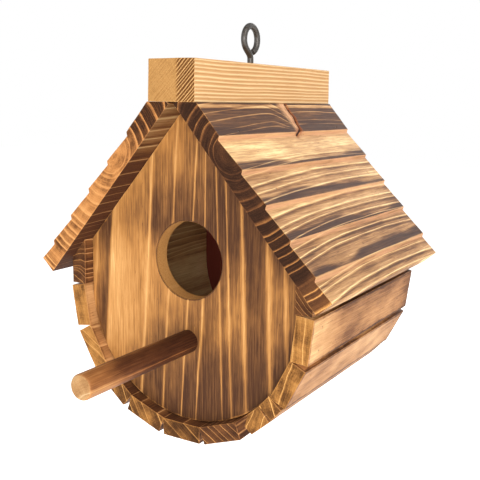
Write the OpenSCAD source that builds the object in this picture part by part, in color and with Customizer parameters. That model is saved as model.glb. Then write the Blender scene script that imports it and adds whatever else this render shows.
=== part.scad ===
// Hanging birdhouse. Two arched panels are ringed by straight staves and closed by a
// gable roof of two stepped boards, with a square block along the ridge that carries
// an eye screw. A dowel perch stands below the round entrance.
// The origin is the centre of the eye's ring. X runs to the right as the entrance is
// faced, Y to the back and Z up. Inside the modules heights are taken from the seat,
// the flat that the two roof boards offer to the ridge block, and hung() lowers them.

/* [Roof] */
// Length of the roof boards and of the ridge block, front to back
roof_len = 146; // [130:1:180]
// Slope of the roof boards below the horizontal, in degrees
roof_pitch = 49.4; // [45:0.1:54]
// Thickness of a roof board at the lower edge of each full course
roof_t = 10.6; // [9:0.1:13]
// Height of the roof's inner apex above the seat
apex_rise = 0.7; // [0.2:0.1:1]
// Gap between the two roof boards under the ridge block
ridge_gap = 3; // [2:0.5:4]
// Full courses milled across each roof board
course_count = 5; // [5:1:6]
// Distance down the slope from one course edge to the next
course_len = 19.7; // [18:0.1:22]
// Length of the short course at the eave
last_course = 13.7; // [8:0.1:16]
// Drop from one course to the next
step_depth = 1.7; // [1:0.1:2.5]
// Distance down the slope over which each step drops
step_run = 1.2; // [0.5:0.1:2]

/* [Ridge block] */
// Width of the ridge block
ridge_w = 27.2; // [26:0.2:28]
// Height of the ridge block
ridge_h = 20.3; // [18:0.1:26]

/* [Panels] */
// Radius of the panels' round lower edge, and half their width
panel_r = 64.2; // [60:0.1:68]
// Depth of the centre of that round edge below the seat
panel_drop = 99.7; // [95:0.1:110]
// Thickness of each panel
panel_t = 9.3; // [8:0.1:12]
// Distance from the roof's front edge back to the front panel
panel_setback = 15; // [13:0.5:20]
// Diameter of the entrance
entrance_d = 40; // [28:1:45]
// Depth of the entrance's centre below the seat
entrance_drop = 79.1; // [75:0.1:84]

/* [Perch] */
// Diameter of the perch
perch_d = 12; // [8:0.5:14]
// Length of perch in front of the front panel
perch_reach = 80.4; // [40:0.1:90]
// Depth of the perch's axis below the seat
perch_drop = 121.5; // [118:0.1:130]
// Chamfer round the perch's free end
perch_chamfer = 0.8; // [0.3:0.1:1.5]

/* [Staves] */
// Thickness of the staves
stave_t = 9.3; // [8:0.1:10]
// Angle that a full-width stave takes of the round edge, in degrees
stave_span = 20.1; // [19.5:0.1:20.4]
// Angle that the narrow filler stave takes, in degrees
filler_span = 7.2; // [6:0.1:7.6]
// Angle by which the upper right staves reach above the round edge's centre
right_lift = 3.2; // [2:0.1:4]
// Clearance along each joint between two staves
stave_gap = 0.2; // [0.1:0.05:0.4]
// Distance from the roof's front edge back to the staves' front ends
front_overhang = 9; // [6:0.5:12]
// Distance from the staves' back ends to the roof's back edge
back_overhang = 4; // [2:0.5:8]

/* [Eye screw] */
// Outer diameter of the ring
eye_d = 17.4; // [14:0.1:18]
// Diameter of the wire and of the shank
wire_d = 3.4; // [2.6:0.1:3.8]
// Height of bare shank between the ridge block and the ring
eye_stand = 5; // [4:0.1:9]
// Depth of the shank in the ridge block
shank_depth = 16; // [12:0.5:17]
// Radial clearance in which the shank turns
shank_clear = 0.05; // [0.01:0.01:0.1]

/* [Fastenings] */
// Diameter of the headless pins through the staves and roof boards
pin_d = 0.8; // [0.6:0.1:1.2]
// Length of those pins
pin_len = 19; // [16:0.5:22]
// Depth to which the pins are set below the wood
pin_set = 0.3; // [0.1:0.1:0.5]
// Diameter of the four nails that hold the ridge block
nail_d = 1.6; // [1.4:0.1:2]
// Diameter of their heads
nail_head_d = 3.4; // [3:0.1:4]
// Length of the nails under their heads
nail_len = 25; // [23:0.5:26]

/* [Hidden] */
$fn = 96;

// Front and back planes.
front_y = -roof_len / 2;
front_panel_y = front_y + panel_setback;
stave_front_y = front_y + front_overhang;
stave_back_y = -front_y - back_overhang;
stave_len = stave_back_y - stave_front_y;
panel_recess = front_panel_y - stave_front_y;
back_panel_y = stave_back_y - panel_recess - panel_t;
panel_mid_ys = [front_panel_y + panel_t / 2, back_panel_y + panel_t / 2];

// Roof section. slope_pt() gives the point that lies s down the slope from the inner
// apex and h above the underside, as [x, z] of the right board.
slope_dir = [cos(roof_pitch), -sin(roof_pitch)];
slope_out = [sin(roof_pitch), cos(roof_pitch)];
function slope_pt(s, h) = [0, apex_rise] + s * slope_dir + h * slope_out;
function under_z(x) = apex_rise - tan(roof_pitch) * abs(x);
course_start = (apex_rise + roof_t * cos(roof_pitch)) / sin(roof_pitch);
eave_s = course_start + course_count * course_len + last_course;
function taper_h(u) = roof_t - step_depth * (1 - (u - step_run) / (course_len - step_run));

// Height of the eye's centre above the seat, and the depth of the ridge block's top
// below that centre.
seat_drop = ridge_h + eye_stand + eye_d / 2;
block_top = -(eye_stand + eye_d / 2);

// Directions round the panel's edge are angles below the horizontal, counted from the
// left side through the bottom to the right side.
bottom_mid = 90;
right_top_edge = 180 + right_lift;
function left_mid(k) = bottom_mid - (6 - k) * stave_span;
function right_mid(k) = right_top_edge - (k - 1.5) * stave_span;
filler_mid = right_top_edge - 2 * stave_span - filler_span / 2;
function span_width(span) = 2 * panel_r * tan(span / 2) - stave_gap;
stave_w = span_width(stave_span);
filler_w = span_width(filler_span);

// The wedge stave beside the filler: its left flank leans out under its neighbour.
// Offsets run along the face towards the right, heights outwards from the inner face.
wedge_mid = 131.5;
wedge_face = [-3, 4.4];
wedge_heel = [-9.4, 4.2];
wedge_back = [-8.6, 4.4];

// Pins sit at these offsets from the middle of a stave's face.
wide_pins = [-6, 6];
narrow_pins = [0];
side_pin_height = 10;
roof_pin_courses = [0.9, 2.6, 4.3];
nail_x = 7.5;
nail_ys = [-52, 52];
nail_head_t = 1;
// A cut runs this far past one face, and this far past both faces together.
hole_spare = 1;
hole_run = 2 * hole_spare;

module hung() { translate([0, 0, -seat_drop]) children(); }

module at_panel_centre() { hung() translate([0, 0, -panel_drop]) children(); }

// Extrudes an [x, z] outline along Y, from y0 over a length.
module along_y(y0, length) {
    translate([0, y0 + length, 0]) rotate([90, 0, 0]) linear_extrude(length) children();
}

// ---- Roof ----

module roof_board_shape() {
    steps = [for (i = [1 : course_count])
        each [slope_pt(course_start + i * course_len, roof_t),
              slope_pt(course_start + i * course_len + step_run, roof_t - step_depth)]];
    along_y(front_y, roof_len) polygon(concat(
        [[ridge_gap / 2, under_z(ridge_gap / 2)], [ridge_gap / 2, 0], [ridge_w / 2, 0]],
        steps,
        [slope_pt(eave_s, taper_h(last_course)), slope_pt(eave_s, 0)]));
}

// Places children on the right board's surface, part of the way down a course, with
// their +Z pointing out of the roof.
module on_course(c, y) {
    s = course_start + c * course_len;
    p = slope_pt(s, taper_h((c - floor(c)) * course_len));
    translate([p[0], y, p[1]]) rotate([0, roof_pitch, 0]) children();
}

module roof_pin_places() {
    for (c = roof_pin_courses, y = panel_mid_ys) on_course(c, y) children();
}

module pin() { translate([0, 0, -pin_set - pin_len]) cylinder(h = pin_len, d = pin_d); }

module pin_hole() {
    translate([0, 0, -pin_set - pin_len]) cylinder(h = pin_len + pin_set + hole_run, d = pin_d);
}

module nail() {
    cylinder(h = nail_head_t, d = nail_head_d);
    translate([0, 0, -nail_len]) cylinder(h = nail_len, d = nail_d);
}

module nail_places() {
    for (x = [-nail_x, nail_x], y = nail_ys) translate([x, y, ridge_h - nail_head_t]) children();
}

module right_board() {
    difference() {
        roof_board_shape();
        roof_pin_places() pin_hole();
        nail_places() nail();
    }
}

module right_roof_board() { color([0.72, 0.5, 0.3]) hung() right_board(); }

module left_roof_board() { color([0.68, 0.47, 0.28]) hung() mirror([1, 0, 0]) right_board(); }

// ---- Ridge block and eye screw ----

module ridge_block() {
    color([0.87, 0.7, 0.45]) hung() difference() {
        translate([-ridge_w / 2, front_y, 0]) cube([ridge_w, roof_len, ridge_h]);
        nail_places() nail();
        translate([0, 0, ridge_h - shank_depth - hole_spare])
            cylinder(h = shank_depth + hole_run, r = wire_d / 2 + shank_clear);
    }
}

// The wire climbs the shank into the foot of the ring and runs round, up the front and
// down the back, until its end stops just short of the shank.
wire_r = wire_d / 2;
ring_r = eye_d / 2 - wire_r;
ring_sweep = 344;
shank_tip = 3;

module eye_screw() {
    color([0.3, 0.31, 0.33]) {
        mirror([0, 1, 0]) rotate([90, 0, 90]) rotate([0, 0, -90]) rotate_extrude(angle = ring_sweep)
            translate([ring_r, 0]) circle(r = wire_r);
        translate([0, 0, block_top - shank_depth]) {
            translate([0, 0, shank_tip])
                cylinder(h = -block_top - ring_r + shank_depth - shank_tip, r = wire_r);
            cylinder(h = shank_tip, r1 = wire_r / 4, r2 = wire_r);
        }
    }
}

// ---- Panels and perch ----

module panel_blank(y0) {
    half_top = ridge_gap / 2;
    eaves_z = under_z(panel_r);
    intersection() {
        hung() along_y(y0, panel_t) polygon([
            [-half_top, under_z(half_top)], [half_top, under_z(half_top)], [panel_r, eaves_z],
            [panel_r, -panel_drop - panel_r], [-panel_r, -panel_drop - panel_r],
            [-panel_r, eaves_z]]);
        at_panel_centre() union() {
            translate([0, y0, 0]) rotate([-90, 0, 0]) cylinder(h = panel_t, r = panel_r, $fn = 180);
            translate([-panel_r, y0, 0]) cube([2 * panel_r, panel_t, panel_drop]);
        }
    }
}

module entrance() {
    hung() translate([0, front_panel_y - hole_spare, -entrance_drop]) rotate([-90, 0, 0])
        cylinder(h = panel_t + hole_run, d = entrance_d);
}

module perch_bore() {
    hung() translate([0, front_panel_y - hole_spare, -perch_drop]) rotate([-90, 0, 0])
        cylinder(h = panel_t + hole_run, d = perch_d);
}

module front_panel() {
    color([0.8, 0.58, 0.33]) difference() {
        panel_blank(front_panel_y);
        entrance();
        perch_bore();
        pin_row(panel_mid_ys[0]) pin_hole();
        roof_pins_both() pin_hole();
    }
}

module back_panel() {
    color([0.76, 0.55, 0.31]) difference() {
        panel_blank(back_panel_y);
        pin_row(panel_mid_ys[1]) pin_hole();
        roof_pins_both() pin_hole();
    }
}

module perch() {
    color([0.62, 0.38, 0.24]) hung()
        translate([0, front_panel_y - perch_reach, -perch_drop]) rotate([-90, 0, 0]) {
            cylinder(h = perch_chamfer, d1 = perch_d - 2 * perch_chamfer, d2 = perch_d);
            translate([0, 0, perch_chamfer])
                cylinder(h = perch_reach + panel_t - perch_chamfer, d = perch_d);
        }
}

// ---- Staves ----

// Turns children from the left side to the given direction round the panels.
module round_to(mid) { at_panel_centre() rotate([0, -mid, 0]) children(); }

// Places children on a stave's outer face with their +Z pointing outwards.
module on_face(mid, offset, y) {
    round_to(mid) translate([-panel_r - stave_t, y, -offset]) rotate([0, -90, 0]) children();
}

module drilled(mid, offsets) {
    difference() {
        children();
        for (o = offsets, y = panel_mid_ys) on_face(mid, o, y) pin_hole();
    }
}

module stave(mid, width, offsets) {
    drilled(mid, offsets) round_to(mid)
        translate([-panel_r - stave_t, stave_front_y, -width / 2])
            cube([stave_t, stave_len, width]);
}

// Upright stave under the left eave, from the given height above the panels' centre to
// the roof's underside.
module side_stave(foot) {
    inner = panel_r;
    outer = panel_r + stave_t;
    drilled(0, [-side_pin_height]) hung() along_y(stave_front_y, stave_len) polygon([
        [-inner, foot - panel_drop], [-inner, under_z(inner)],
        [-outer, under_z(outer)], [-outer, foot - panel_drop]]);
}

// Height at which a side stave stands clear of the top corner of the stave below it.
function foot_over(lift) = panel_r / cos(stave_span / 2) * sin(lift) + stave_gap;
left_lift = 4.5 * stave_span - bottom_mid;
left_foot = foot_over(left_lift);
right_foot = foot_over(right_lift);

module wedge_stave() {
    drilled(wedge_mid, narrow_pins) round_to(wedge_mid)
        along_y(stave_front_y, stave_len) polygon([
            [-panel_r, -wedge_face[0]], [-panel_r, -wedge_face[1]],
            [-panel_r - stave_t, -wedge_back[1]], [-panel_r - stave_t, -wedge_back[0]],
            [-panel_r - wedge_heel[1], -wedge_heel[0]]]);
}

module left_stave_1() { color([0.7, 0.47, 0.26]) side_stave(left_foot); }
module left_stave_2() { color([0.78, 0.56, 0.32]) stave(left_mid(2), stave_w, wide_pins); }
module left_stave_3() { color([0.74, 0.52, 0.29]) stave(left_mid(3), stave_w, wide_pins); }
module left_stave_4() { color([0.76, 0.53, 0.3]) stave(left_mid(4), stave_w, wide_pins); }
module left_stave_5() { color([0.7, 0.49, 0.28]) stave(left_mid(5), stave_w, wide_pins); }
module bottom_stave() { color([0.66, 0.46, 0.27]) stave(bottom_mid, stave_w, wide_pins); }
module right_stave_6() {
    color([0.62, 0.43, 0.26]) stave(bottom_mid + stave_span, stave_w, wide_pins);
}
module right_stave_5() { color([0.8, 0.58, 0.33]) wedge_stave(); }
module right_stave_4() { color([0.72, 0.5, 0.28]) stave(filler_mid, filler_w, narrow_pins); }
module right_stave_3() { color([0.8, 0.6, 0.38]) stave(right_mid(3), stave_w, wide_pins); }
module right_stave_2() { color([0.76, 0.54, 0.32]) stave(right_mid(2), stave_w, wide_pins); }
module right_stave_1() {
    color([0.72, 0.5, 0.3]) mirror([1, 0, 0]) side_stave(right_foot);
}

// ---- Fastenings ----

// Places children where each pin of one panel enters a stave.
module pin_row(y) {
    on_face(0, -side_pin_height, y) children();
    mirror([1, 0, 0]) on_face(0, -side_pin_height, y) children();
    wide_mids = concat([for (k = [2 : 5]) left_mid(k)], [bottom_mid, bottom_mid + stave_span],
        [for (k = [2 : 3]) right_mid(k)]);
    for (mid = wide_mids, o = wide_pins) on_face(mid, o, y) children();
    for (mid = [filler_mid, wedge_mid], o = narrow_pins) on_face(mid, o, y) children();
}

module roof_pins_both() {
    hung() roof_pin_places() children();
    hung() mirror([1, 0, 0]) roof_pin_places() children();
}

module front_pins() { color([0.6, 0.6, 0.62]) pin_row(panel_mid_ys[0]) pin(); }
module back_pins() { color([0.6, 0.6, 0.62]) pin_row(panel_mid_ys[1]) pin(); }
module roof_pins() { color([0.6, 0.6, 0.62]) roof_pins_both() pin(); }
module ridge_nails() { color([0.6, 0.6, 0.62]) hung() nail_places() nail(); }

front_panel();
back_panel();
left_roof_board();
right_roof_board();
ridge_block();
eye_screw();
perch();
left_stave_1();
left_stave_2();
left_stave_3();
left_stave_4();
left_stave_5();
bottom_stave();
right_stave_1();
right_stave_2();
right_stave_3();
right_stave_4();
right_stave_5();
right_stave_6();
front_pins();
back_pins();
roof_pins();
ridge_nails();
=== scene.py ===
"""Looks of the hanging birdhouse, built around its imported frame.

The house is a ring of torched pine staves nailed round two arched panels, under two
stepped roof boards, with a raw pine block and an eye screw along the ridge.
Sizes are in millimetres in the row frame and become metres when a mesh is made.
"""

import logging
import math
from dataclasses import dataclass, field, replace
from enum import Enum
from typing import Any, Callable, Dict, List, Optional, Sequence, Tuple, Union

import bpy
import numpy as np
from mathutils import Matrix, Vector


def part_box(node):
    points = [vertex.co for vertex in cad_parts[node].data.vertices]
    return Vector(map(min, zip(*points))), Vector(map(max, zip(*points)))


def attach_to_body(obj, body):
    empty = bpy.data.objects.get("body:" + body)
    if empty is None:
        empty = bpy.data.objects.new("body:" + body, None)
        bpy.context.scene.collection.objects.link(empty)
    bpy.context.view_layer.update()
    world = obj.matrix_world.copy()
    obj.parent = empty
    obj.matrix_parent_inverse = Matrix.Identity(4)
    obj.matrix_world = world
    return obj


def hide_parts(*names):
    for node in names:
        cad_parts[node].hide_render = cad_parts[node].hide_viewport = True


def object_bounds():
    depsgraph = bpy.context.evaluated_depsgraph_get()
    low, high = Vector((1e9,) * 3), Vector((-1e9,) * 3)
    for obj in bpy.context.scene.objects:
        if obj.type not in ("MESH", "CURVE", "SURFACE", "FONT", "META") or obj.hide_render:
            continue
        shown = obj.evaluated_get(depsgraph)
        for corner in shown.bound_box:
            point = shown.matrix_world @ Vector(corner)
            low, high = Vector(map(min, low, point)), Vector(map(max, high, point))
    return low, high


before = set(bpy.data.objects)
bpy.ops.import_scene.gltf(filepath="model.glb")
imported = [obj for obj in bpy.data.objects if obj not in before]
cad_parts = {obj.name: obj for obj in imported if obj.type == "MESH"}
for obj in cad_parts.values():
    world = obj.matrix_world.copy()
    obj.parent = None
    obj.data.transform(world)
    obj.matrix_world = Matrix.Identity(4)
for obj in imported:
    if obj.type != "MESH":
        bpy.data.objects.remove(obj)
CAD_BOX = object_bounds()

LOG = logging.getLogger("birdhouse")
MM = 0.001
HOUSE = "house"
EYE = "eye"
GRAIN = "grain"
BURN = "burn"
RIM = "rim"

Colour = Tuple[float, float, float, float]
Pair = Tuple[float, float]
Stops = Tuple[Pair, ...]


def srgb(code: int) -> Colour:
    """Turns a display colour, such as 0xC89256, into a linear one with full alpha."""
    parts = [(code >> shift & 255) / 255 for shift in (16, 8, 0)]
    red, green, blue = [part / 12.92 if part <= 0.04045 else ((part + 0.055) / 1.055) ** 2.4
                        for part in parts]
    return red, green, blue, 1.0


# ---- Frame ----


def node_box(node: str) -> Tuple[np.ndarray, np.ndarray]:
    """Lowest and highest corners of a CAD node, in millimetres."""
    low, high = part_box(node)
    return np.array(low) / MM, np.array(high) / MM


(_, FRONT, SEAT), (_, BACK, _) = node_box("ridge_block")
PANEL_MIDS = [sum(corner[1] for corner in node_box(node)) / 2 for node in ("front_panel", "back_panel")]


def add_object(name: str, data: Any) -> bpy.types.Object:
    """Makes an object at the origin and puts it in the scene."""
    made = bpy.data.objects.new(name, data)
    bpy.context.scene.collection.objects.link(made)
    return made


def add_attribute(mesh: bpy.types.Mesh, name: str, values: np.ndarray) -> None:
    """Gives every corner of a mesh a number, or three where values has rows of three."""
    values = np.asarray(values, np.float32)
    kind, key = ("FLOAT", "value") if values.ndim == 1 else ("FLOAT_VECTOR", "vector")
    mesh.attributes.new(name, kind, "POINT").data.foreach_set(key, values.ravel())


# ---- Shader bench ----


class Wire:
    """A node's output that can be used in arithmetic; each operation adds a Math node."""

    def __init__(self, bench: "Bench", socket: bpy.types.NodeSocket) -> None:
        """Keeps the socket and the bench that adds nodes for it.

        Args:
            bench: Bench of the tree that the socket belongs to.
            socket: Output socket to wrap.
        """
        self.bench = bench
        self.socket = socket

    def _math(self, operation: str, first: "Level", second: "Level") -> "Wire":
        """Adds one Math node for two operands."""
        return self.bench.math(operation, first, second)

    def __add__(self, other: "Level") -> "Wire":
        """Sum."""
        return self._math("ADD", self, other)

    __radd__ = __add__

    def __sub__(self, other: "Level") -> "Wire":
        """Difference."""
        return self._math("SUBTRACT", self, other)

    def __rsub__(self, other: float) -> "Wire":
        """Difference from a number on the left."""
        return self._math("SUBTRACT", other, self)

    def __mul__(self, other: "Level") -> "Wire":
        """Product."""
        return self._math("MULTIPLY", self, other)

    __rmul__ = __mul__

    def __truediv__(self, other: "Level") -> "Wire":
        """Quotient."""
        return self._math("DIVIDE", self, other)

    def __pow__(self, power: "Level") -> "Wire":
        """Power."""
        return self._math("POWER", self, power)

    def __mod__(self, span: "Level") -> "Wire":
        """Remainder that stays positive."""
        return self._math("FLOORED_MODULO", self, span)

    def least(self, other: "Level") -> "Wire":
        """The smaller of the two."""
        return self._math("MINIMUM", self, other)

    def most(self, other: "Level") -> "Wire":
        """The larger of the two."""
        return self._math("MAXIMUM", self, other)


Level = Union[Wire, float]


class Bench:
    """Adds nodes to one tree."""

    def __init__(self, owner: Union[bpy.types.Material, bpy.types.World]) -> None:
        """Empties the node tree of a material or world and works on it.

        Args:
            owner: Material or world whose nodes are built here.
        """
        owner.use_nodes = True
        self.tree = owner.node_tree
        self.tree.nodes.clear()

    def node(self, kind: str, settings: Optional[Dict[str, Any]] = None,
             sockets: Optional[Dict[Union[int, str], Any]] = None, out: Union[int, str] = 0) -> Wire:
        """Adds a node.

        Args:
            kind: Node type.
            settings: Properties to set first; "stops" fills a colour ramp.
            sockets: Values or wires for the inputs, by name or number.
            out: Output to return.

        Returns:
            The chosen output as a wire.
        """
        made = self.tree.nodes.new(kind)
        for key, value in (settings or {}).items():
            if key == "stops":
                self._fill(made.color_ramp, value)
            else:
                setattr(made, key, value)
        for key, value in (sockets or {}).items():
            if isinstance(value, Wire):
                self.tree.links.new(value.socket, made.inputs[key])
            else:
                made.inputs[key].default_value = value
        return Wire(self, made.outputs[out])

    @staticmethod
    def _fill(ramp: bpy.types.ColorRamp, stops: Sequence[Tuple[float, Colour]]) -> None:
        """Sets a ramp's stops, given as (position, colour)."""
        while len(ramp.elements) < len(stops):
            ramp.elements.new(1.0)
        for element, (position, colour) in zip(ramp.elements, stops):
            element.position = position
            element.color = colour

    def split(self, vector: Wire) -> List[Wire]:
        """The three numbers of a vector."""
        return [self.node("ShaderNodeSeparateXYZ", None, {0: vector}, axis) for axis in range(3)]

    def attribute(self, name: str, out: str = "Fac") -> Wire:
        """An attribute's number, or its vector."""
        return self.node("ShaderNodeAttribute", {"attribute_name": name}, out=out)

    def smooth(self, value: Level, low: float, high: float) -> Wire:
        """0 below low, 1 above high, eased between; low may be the larger."""
        if low > high:
            return 1 - self.smooth(value, high, low)
        return self.node("ShaderNodeMapRange", {"interpolation_type": "SMOOTHSTEP"},
                         {"Value": value, "From Min": low, "From Max": high})

    def noise(self, a: Level, b: Level, c: Level, detail: float = 2.0, rough: float = 0.5) -> Wire:
        """Noise from 0 to 1, around 0.5, of three numbers."""
        place = self.node("ShaderNodeCombineXYZ", None, {0: a, 1: b, 2: c})
        return self.node("ShaderNodeTexNoise", None,
                         {"Vector": place, "Scale": 1.0, "Detail": detail, "Roughness": rough})

    def tones(self, value: Level, stops: Stops, reach: float = 0.0) -> Wire:
        """A number that follows given stops of a value.

        Args:
            value: What the stops are positions of.
            stops: Pairs of value and number.
            reach: Length of the ramp, where it goes on past the last stop.

        Returns:
            The interpolated number.
        """
        least = min(min(tone for _, tone in stops), 0.0)
        if all(tone == stops[0][1] for _, tone in stops):
            return self.math("ADD", stops[0][1], 0.0)
        low = stops[0][0]
        reach = reach or stops[-1][0] - low
        grey = [((at - low) / reach, (tone - least,) * 3 + (1.0,)) for at, tone in stops]
        ramp = self.ramp((value - low) * (1 / reach), grey)
        return ramp + least if least else ramp

    def ramp(self, share: Wire, stops: Sequence[Tuple[float, Colour]]) -> Wire:
        """Colour of a ramp with the given stops."""
        return self.node("ShaderNodeValToRGB", {"stops": stops}, {0: share})

    def math(self, operation: str, first: Level, second: Level) -> Wire:
        """Adds one Math node for two operands."""
        return self.node("ShaderNodeMath", {"operation": operation}, {0: first, 1: second})

    def mix(self, share: Level, first: Any, second: Any) -> Wire:
        """Blend of two colours."""
        return self.node("ShaderNodeMix", {"data_type": "RGBA", "clamp_factor": True},
                         {0: share, 6: first, 7: second}, 2)

    def surface(self, colour: Any, rough: Level, height: Wire, relief: float,
                fixed: Optional[Dict[str, float]] = None) -> None:
        """Adds the shader, the bump and the output.

        Args:
            colour: Base colour.
            rough: Roughness.
            height: Height that the bump follows, from 0 to 1.
            relief: Depth of that height, in millimetres.
            fixed: Uniform values of the shader's own sockets.
        """
        bump = self.node("ShaderNodeBump", None, {"Strength": 1.0, "Distance": relief * MM, "Height": height})
        sockets = {"Base Color": colour, "Roughness": rough, "Normal": bump}
        sockets.update(fixed or {})
        self.close(self.node("ShaderNodeBsdfPrincipled", None, sockets))

    def close(self, last: Wire, kind: str = "ShaderNodeOutputMaterial") -> None:
        """Links the last node to the tree's output."""
        self.tree.links.new(last.socket, self.tree.nodes.new(kind).inputs[0])


# ---- Finishes ----


class Growth(Enum):
    """How the growth rings cross a piece."""

    FLAT = "flat"
    ROUND = "round"


class Face(Enum):
    """Kinds of face that a piece of wood has."""

    LONG = "long"
    END = "end"
    CUT = "cut"


@dataclass(frozen=True)
class Figure:
    """Where a piece's growth rings lie, in its own across, up and along millimetres.

    Attributes:
        tones: Stops of ring distance and tone, from 0 for scorched to 1 for cream.
        start: Ring distance at which the tones start.
        reach: Distance after which they repeat.
        growth: Whether the rings are flat layers or curl round the pith.
        pith: Across and up places of the pith, or the zero of flat layers.
        squash: How much tighter round rings are in the up direction.
        tilt: Angle of flat layers, in degrees.
        lean: Drift across for each millimetre along, before and after the turn.
        turn: Across place where the lean changes.
        bow: Depth, middle and half length of a bow along the piece.
        wander: Depth of slow wandering.
        swerve: How far the rings swerve across beside a knot, the places along where that
            starts and is full, where the knot is, and the last place across that it reaches.
        seed: Offset of all noise.
    """

    tones: Stops
    start: float = 0.0
    reach: float = 40.0
    growth: Growth = Growth.FLAT
    pith: Pair = (0.0, 0.0)
    squash: float = 1.0
    tilt: float = 12.0
    lean: Pair = (0.0, 0.0)
    turn: float = 0.0
    bow: Tuple[float, float, float] = (0.0, 0.0, 70.0)
    wander: float = 1.2
    swerve: Tuple[float, ...] = ()
    seed: float = 0.0

    def polar(self, bench: Bench, a: Wire, b: Wire, c: Wire) -> Tuple[Wire, Wire]:
        """Ring distance of a point and its place along the ring.

        Args:
            bench: Where to add the nodes.
            a: Across place.
            b: Up place.
            c: Along place.

        Returns:
            The distance from the pith, or from the zero of the flat layers, and the place
            along the ring, both in millimetres.
        """
        slow = bench.noise(a * 0.02 + self.seed, b * 0.02, c * 0.011, 2.0)
        fine = bench.noise(a * 0.16, b * 0.16 + self.seed, c * 0.028, 1.0)
        drift = (slow - 0.5) * (4 * self.wander) + (fine - 0.5) * (0.9 * self.wander)
        if self.lean != (0.0, 0.0):
            side = bench.smooth(a, self.turn - 4, self.turn + 4)
            drift = drift - c * (side * (self.lean[1] - self.lean[0]) + self.lean[0])
        depth, middle, half = self.bow
        if depth:
            drift = drift + (1 - ((c - middle) * (1 / half)) ** 2) * depth
        if self.swerve:
            far, first, full, knot, reach = self.swerve
            beside = bench.smooth(c, first, full) ** 2 * bench.smooth(c, knot + 1.5, knot - 1.5)
            drift = drift - beside * bench.smooth(a, reach + 4, reach - 6) * far
        across, up = a + drift - self.pith[0], b - self.pith[1]
        if self.growth is Growth.FLAT:
            cos, sin = math.cos(math.radians(self.tilt)), math.sin(math.radians(self.tilt))
            return across * cos + up * sin + drift * (sin * sin), up * cos - across * sin
        up = up * self.squash
        return (across * across + up * up) ** 0.5, bench.math("ARCTAN2", up, across) * 26.0


@dataclass(frozen=True)
class Palette:
    """Display colours of a wood from its darkest scorch to its palest line."""

    scorched: int
    brown: int
    honey: int
    pale: int
    cream: int

    def ramp(self) -> List[Tuple[float, Colour]]:
        """Ramp stops from scorched to cream."""
        codes = (self.scorched, self.brown, self.honey, self.pale, self.cream)
        return list(zip((0.0, 0.26, 0.52, 0.76, 1.0), map(srgb, codes)))


PANEL_WOOD = Palette(0x462A19, 0x764D2A, 0xAC763E, 0xC89256, 0xE6B678)
ROOF_WOOD = Palette(0x4A3228, 0x765032, 0xAA7C4E, 0xCEA06C, 0xF4D89A)
STAVE_WOOD = Palette(0x482A1A, 0x784C2A, 0xB07C4C, 0xCA9864, 0xEAC288)
END_WOOD = Palette(0x321E0F, 0x603D1E, 0xA26F38, 0xBE8A4E, 0xE2B06C)
DARK_END_WOOD = Palette(0x2C1A10, 0x4A2D1B, 0x6C4426, 0xA06C3A, 0xDCA25E)
TAN_END_WOOD = Palette(0x321D11, 0x684022, 0xB07642, 0xC48A52, 0xDCA668)
RIDGE_WOOD = Palette(0x885A30, 0xAE7E4C, 0xC49664, 0xD0A878, 0xE6C896)
RIDGE_END_WOOD = Palette(0x5C381A, 0x80562C, 0xA67A46, 0xB28652, 0xC49862)
PERCH_WOOD = Palette(0x341A0F, 0x58321C, 0x945E34, 0xB8824E, 0xCE9A62)
PERCH_END = Palette(0x684628, 0x8C643E, 0xA87E52, 0xBA9468, 0xCEAC82)
RAW_WOOD = Palette(0x6E4622, 0x946436, 0xB48048, 0xC8965C, 0xDAAE76)


@dataclass(frozen=True)
class Courses:
    """Milled courses of a roof board, measured down the slope."""

    start: float
    length: float
    top: float


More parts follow.
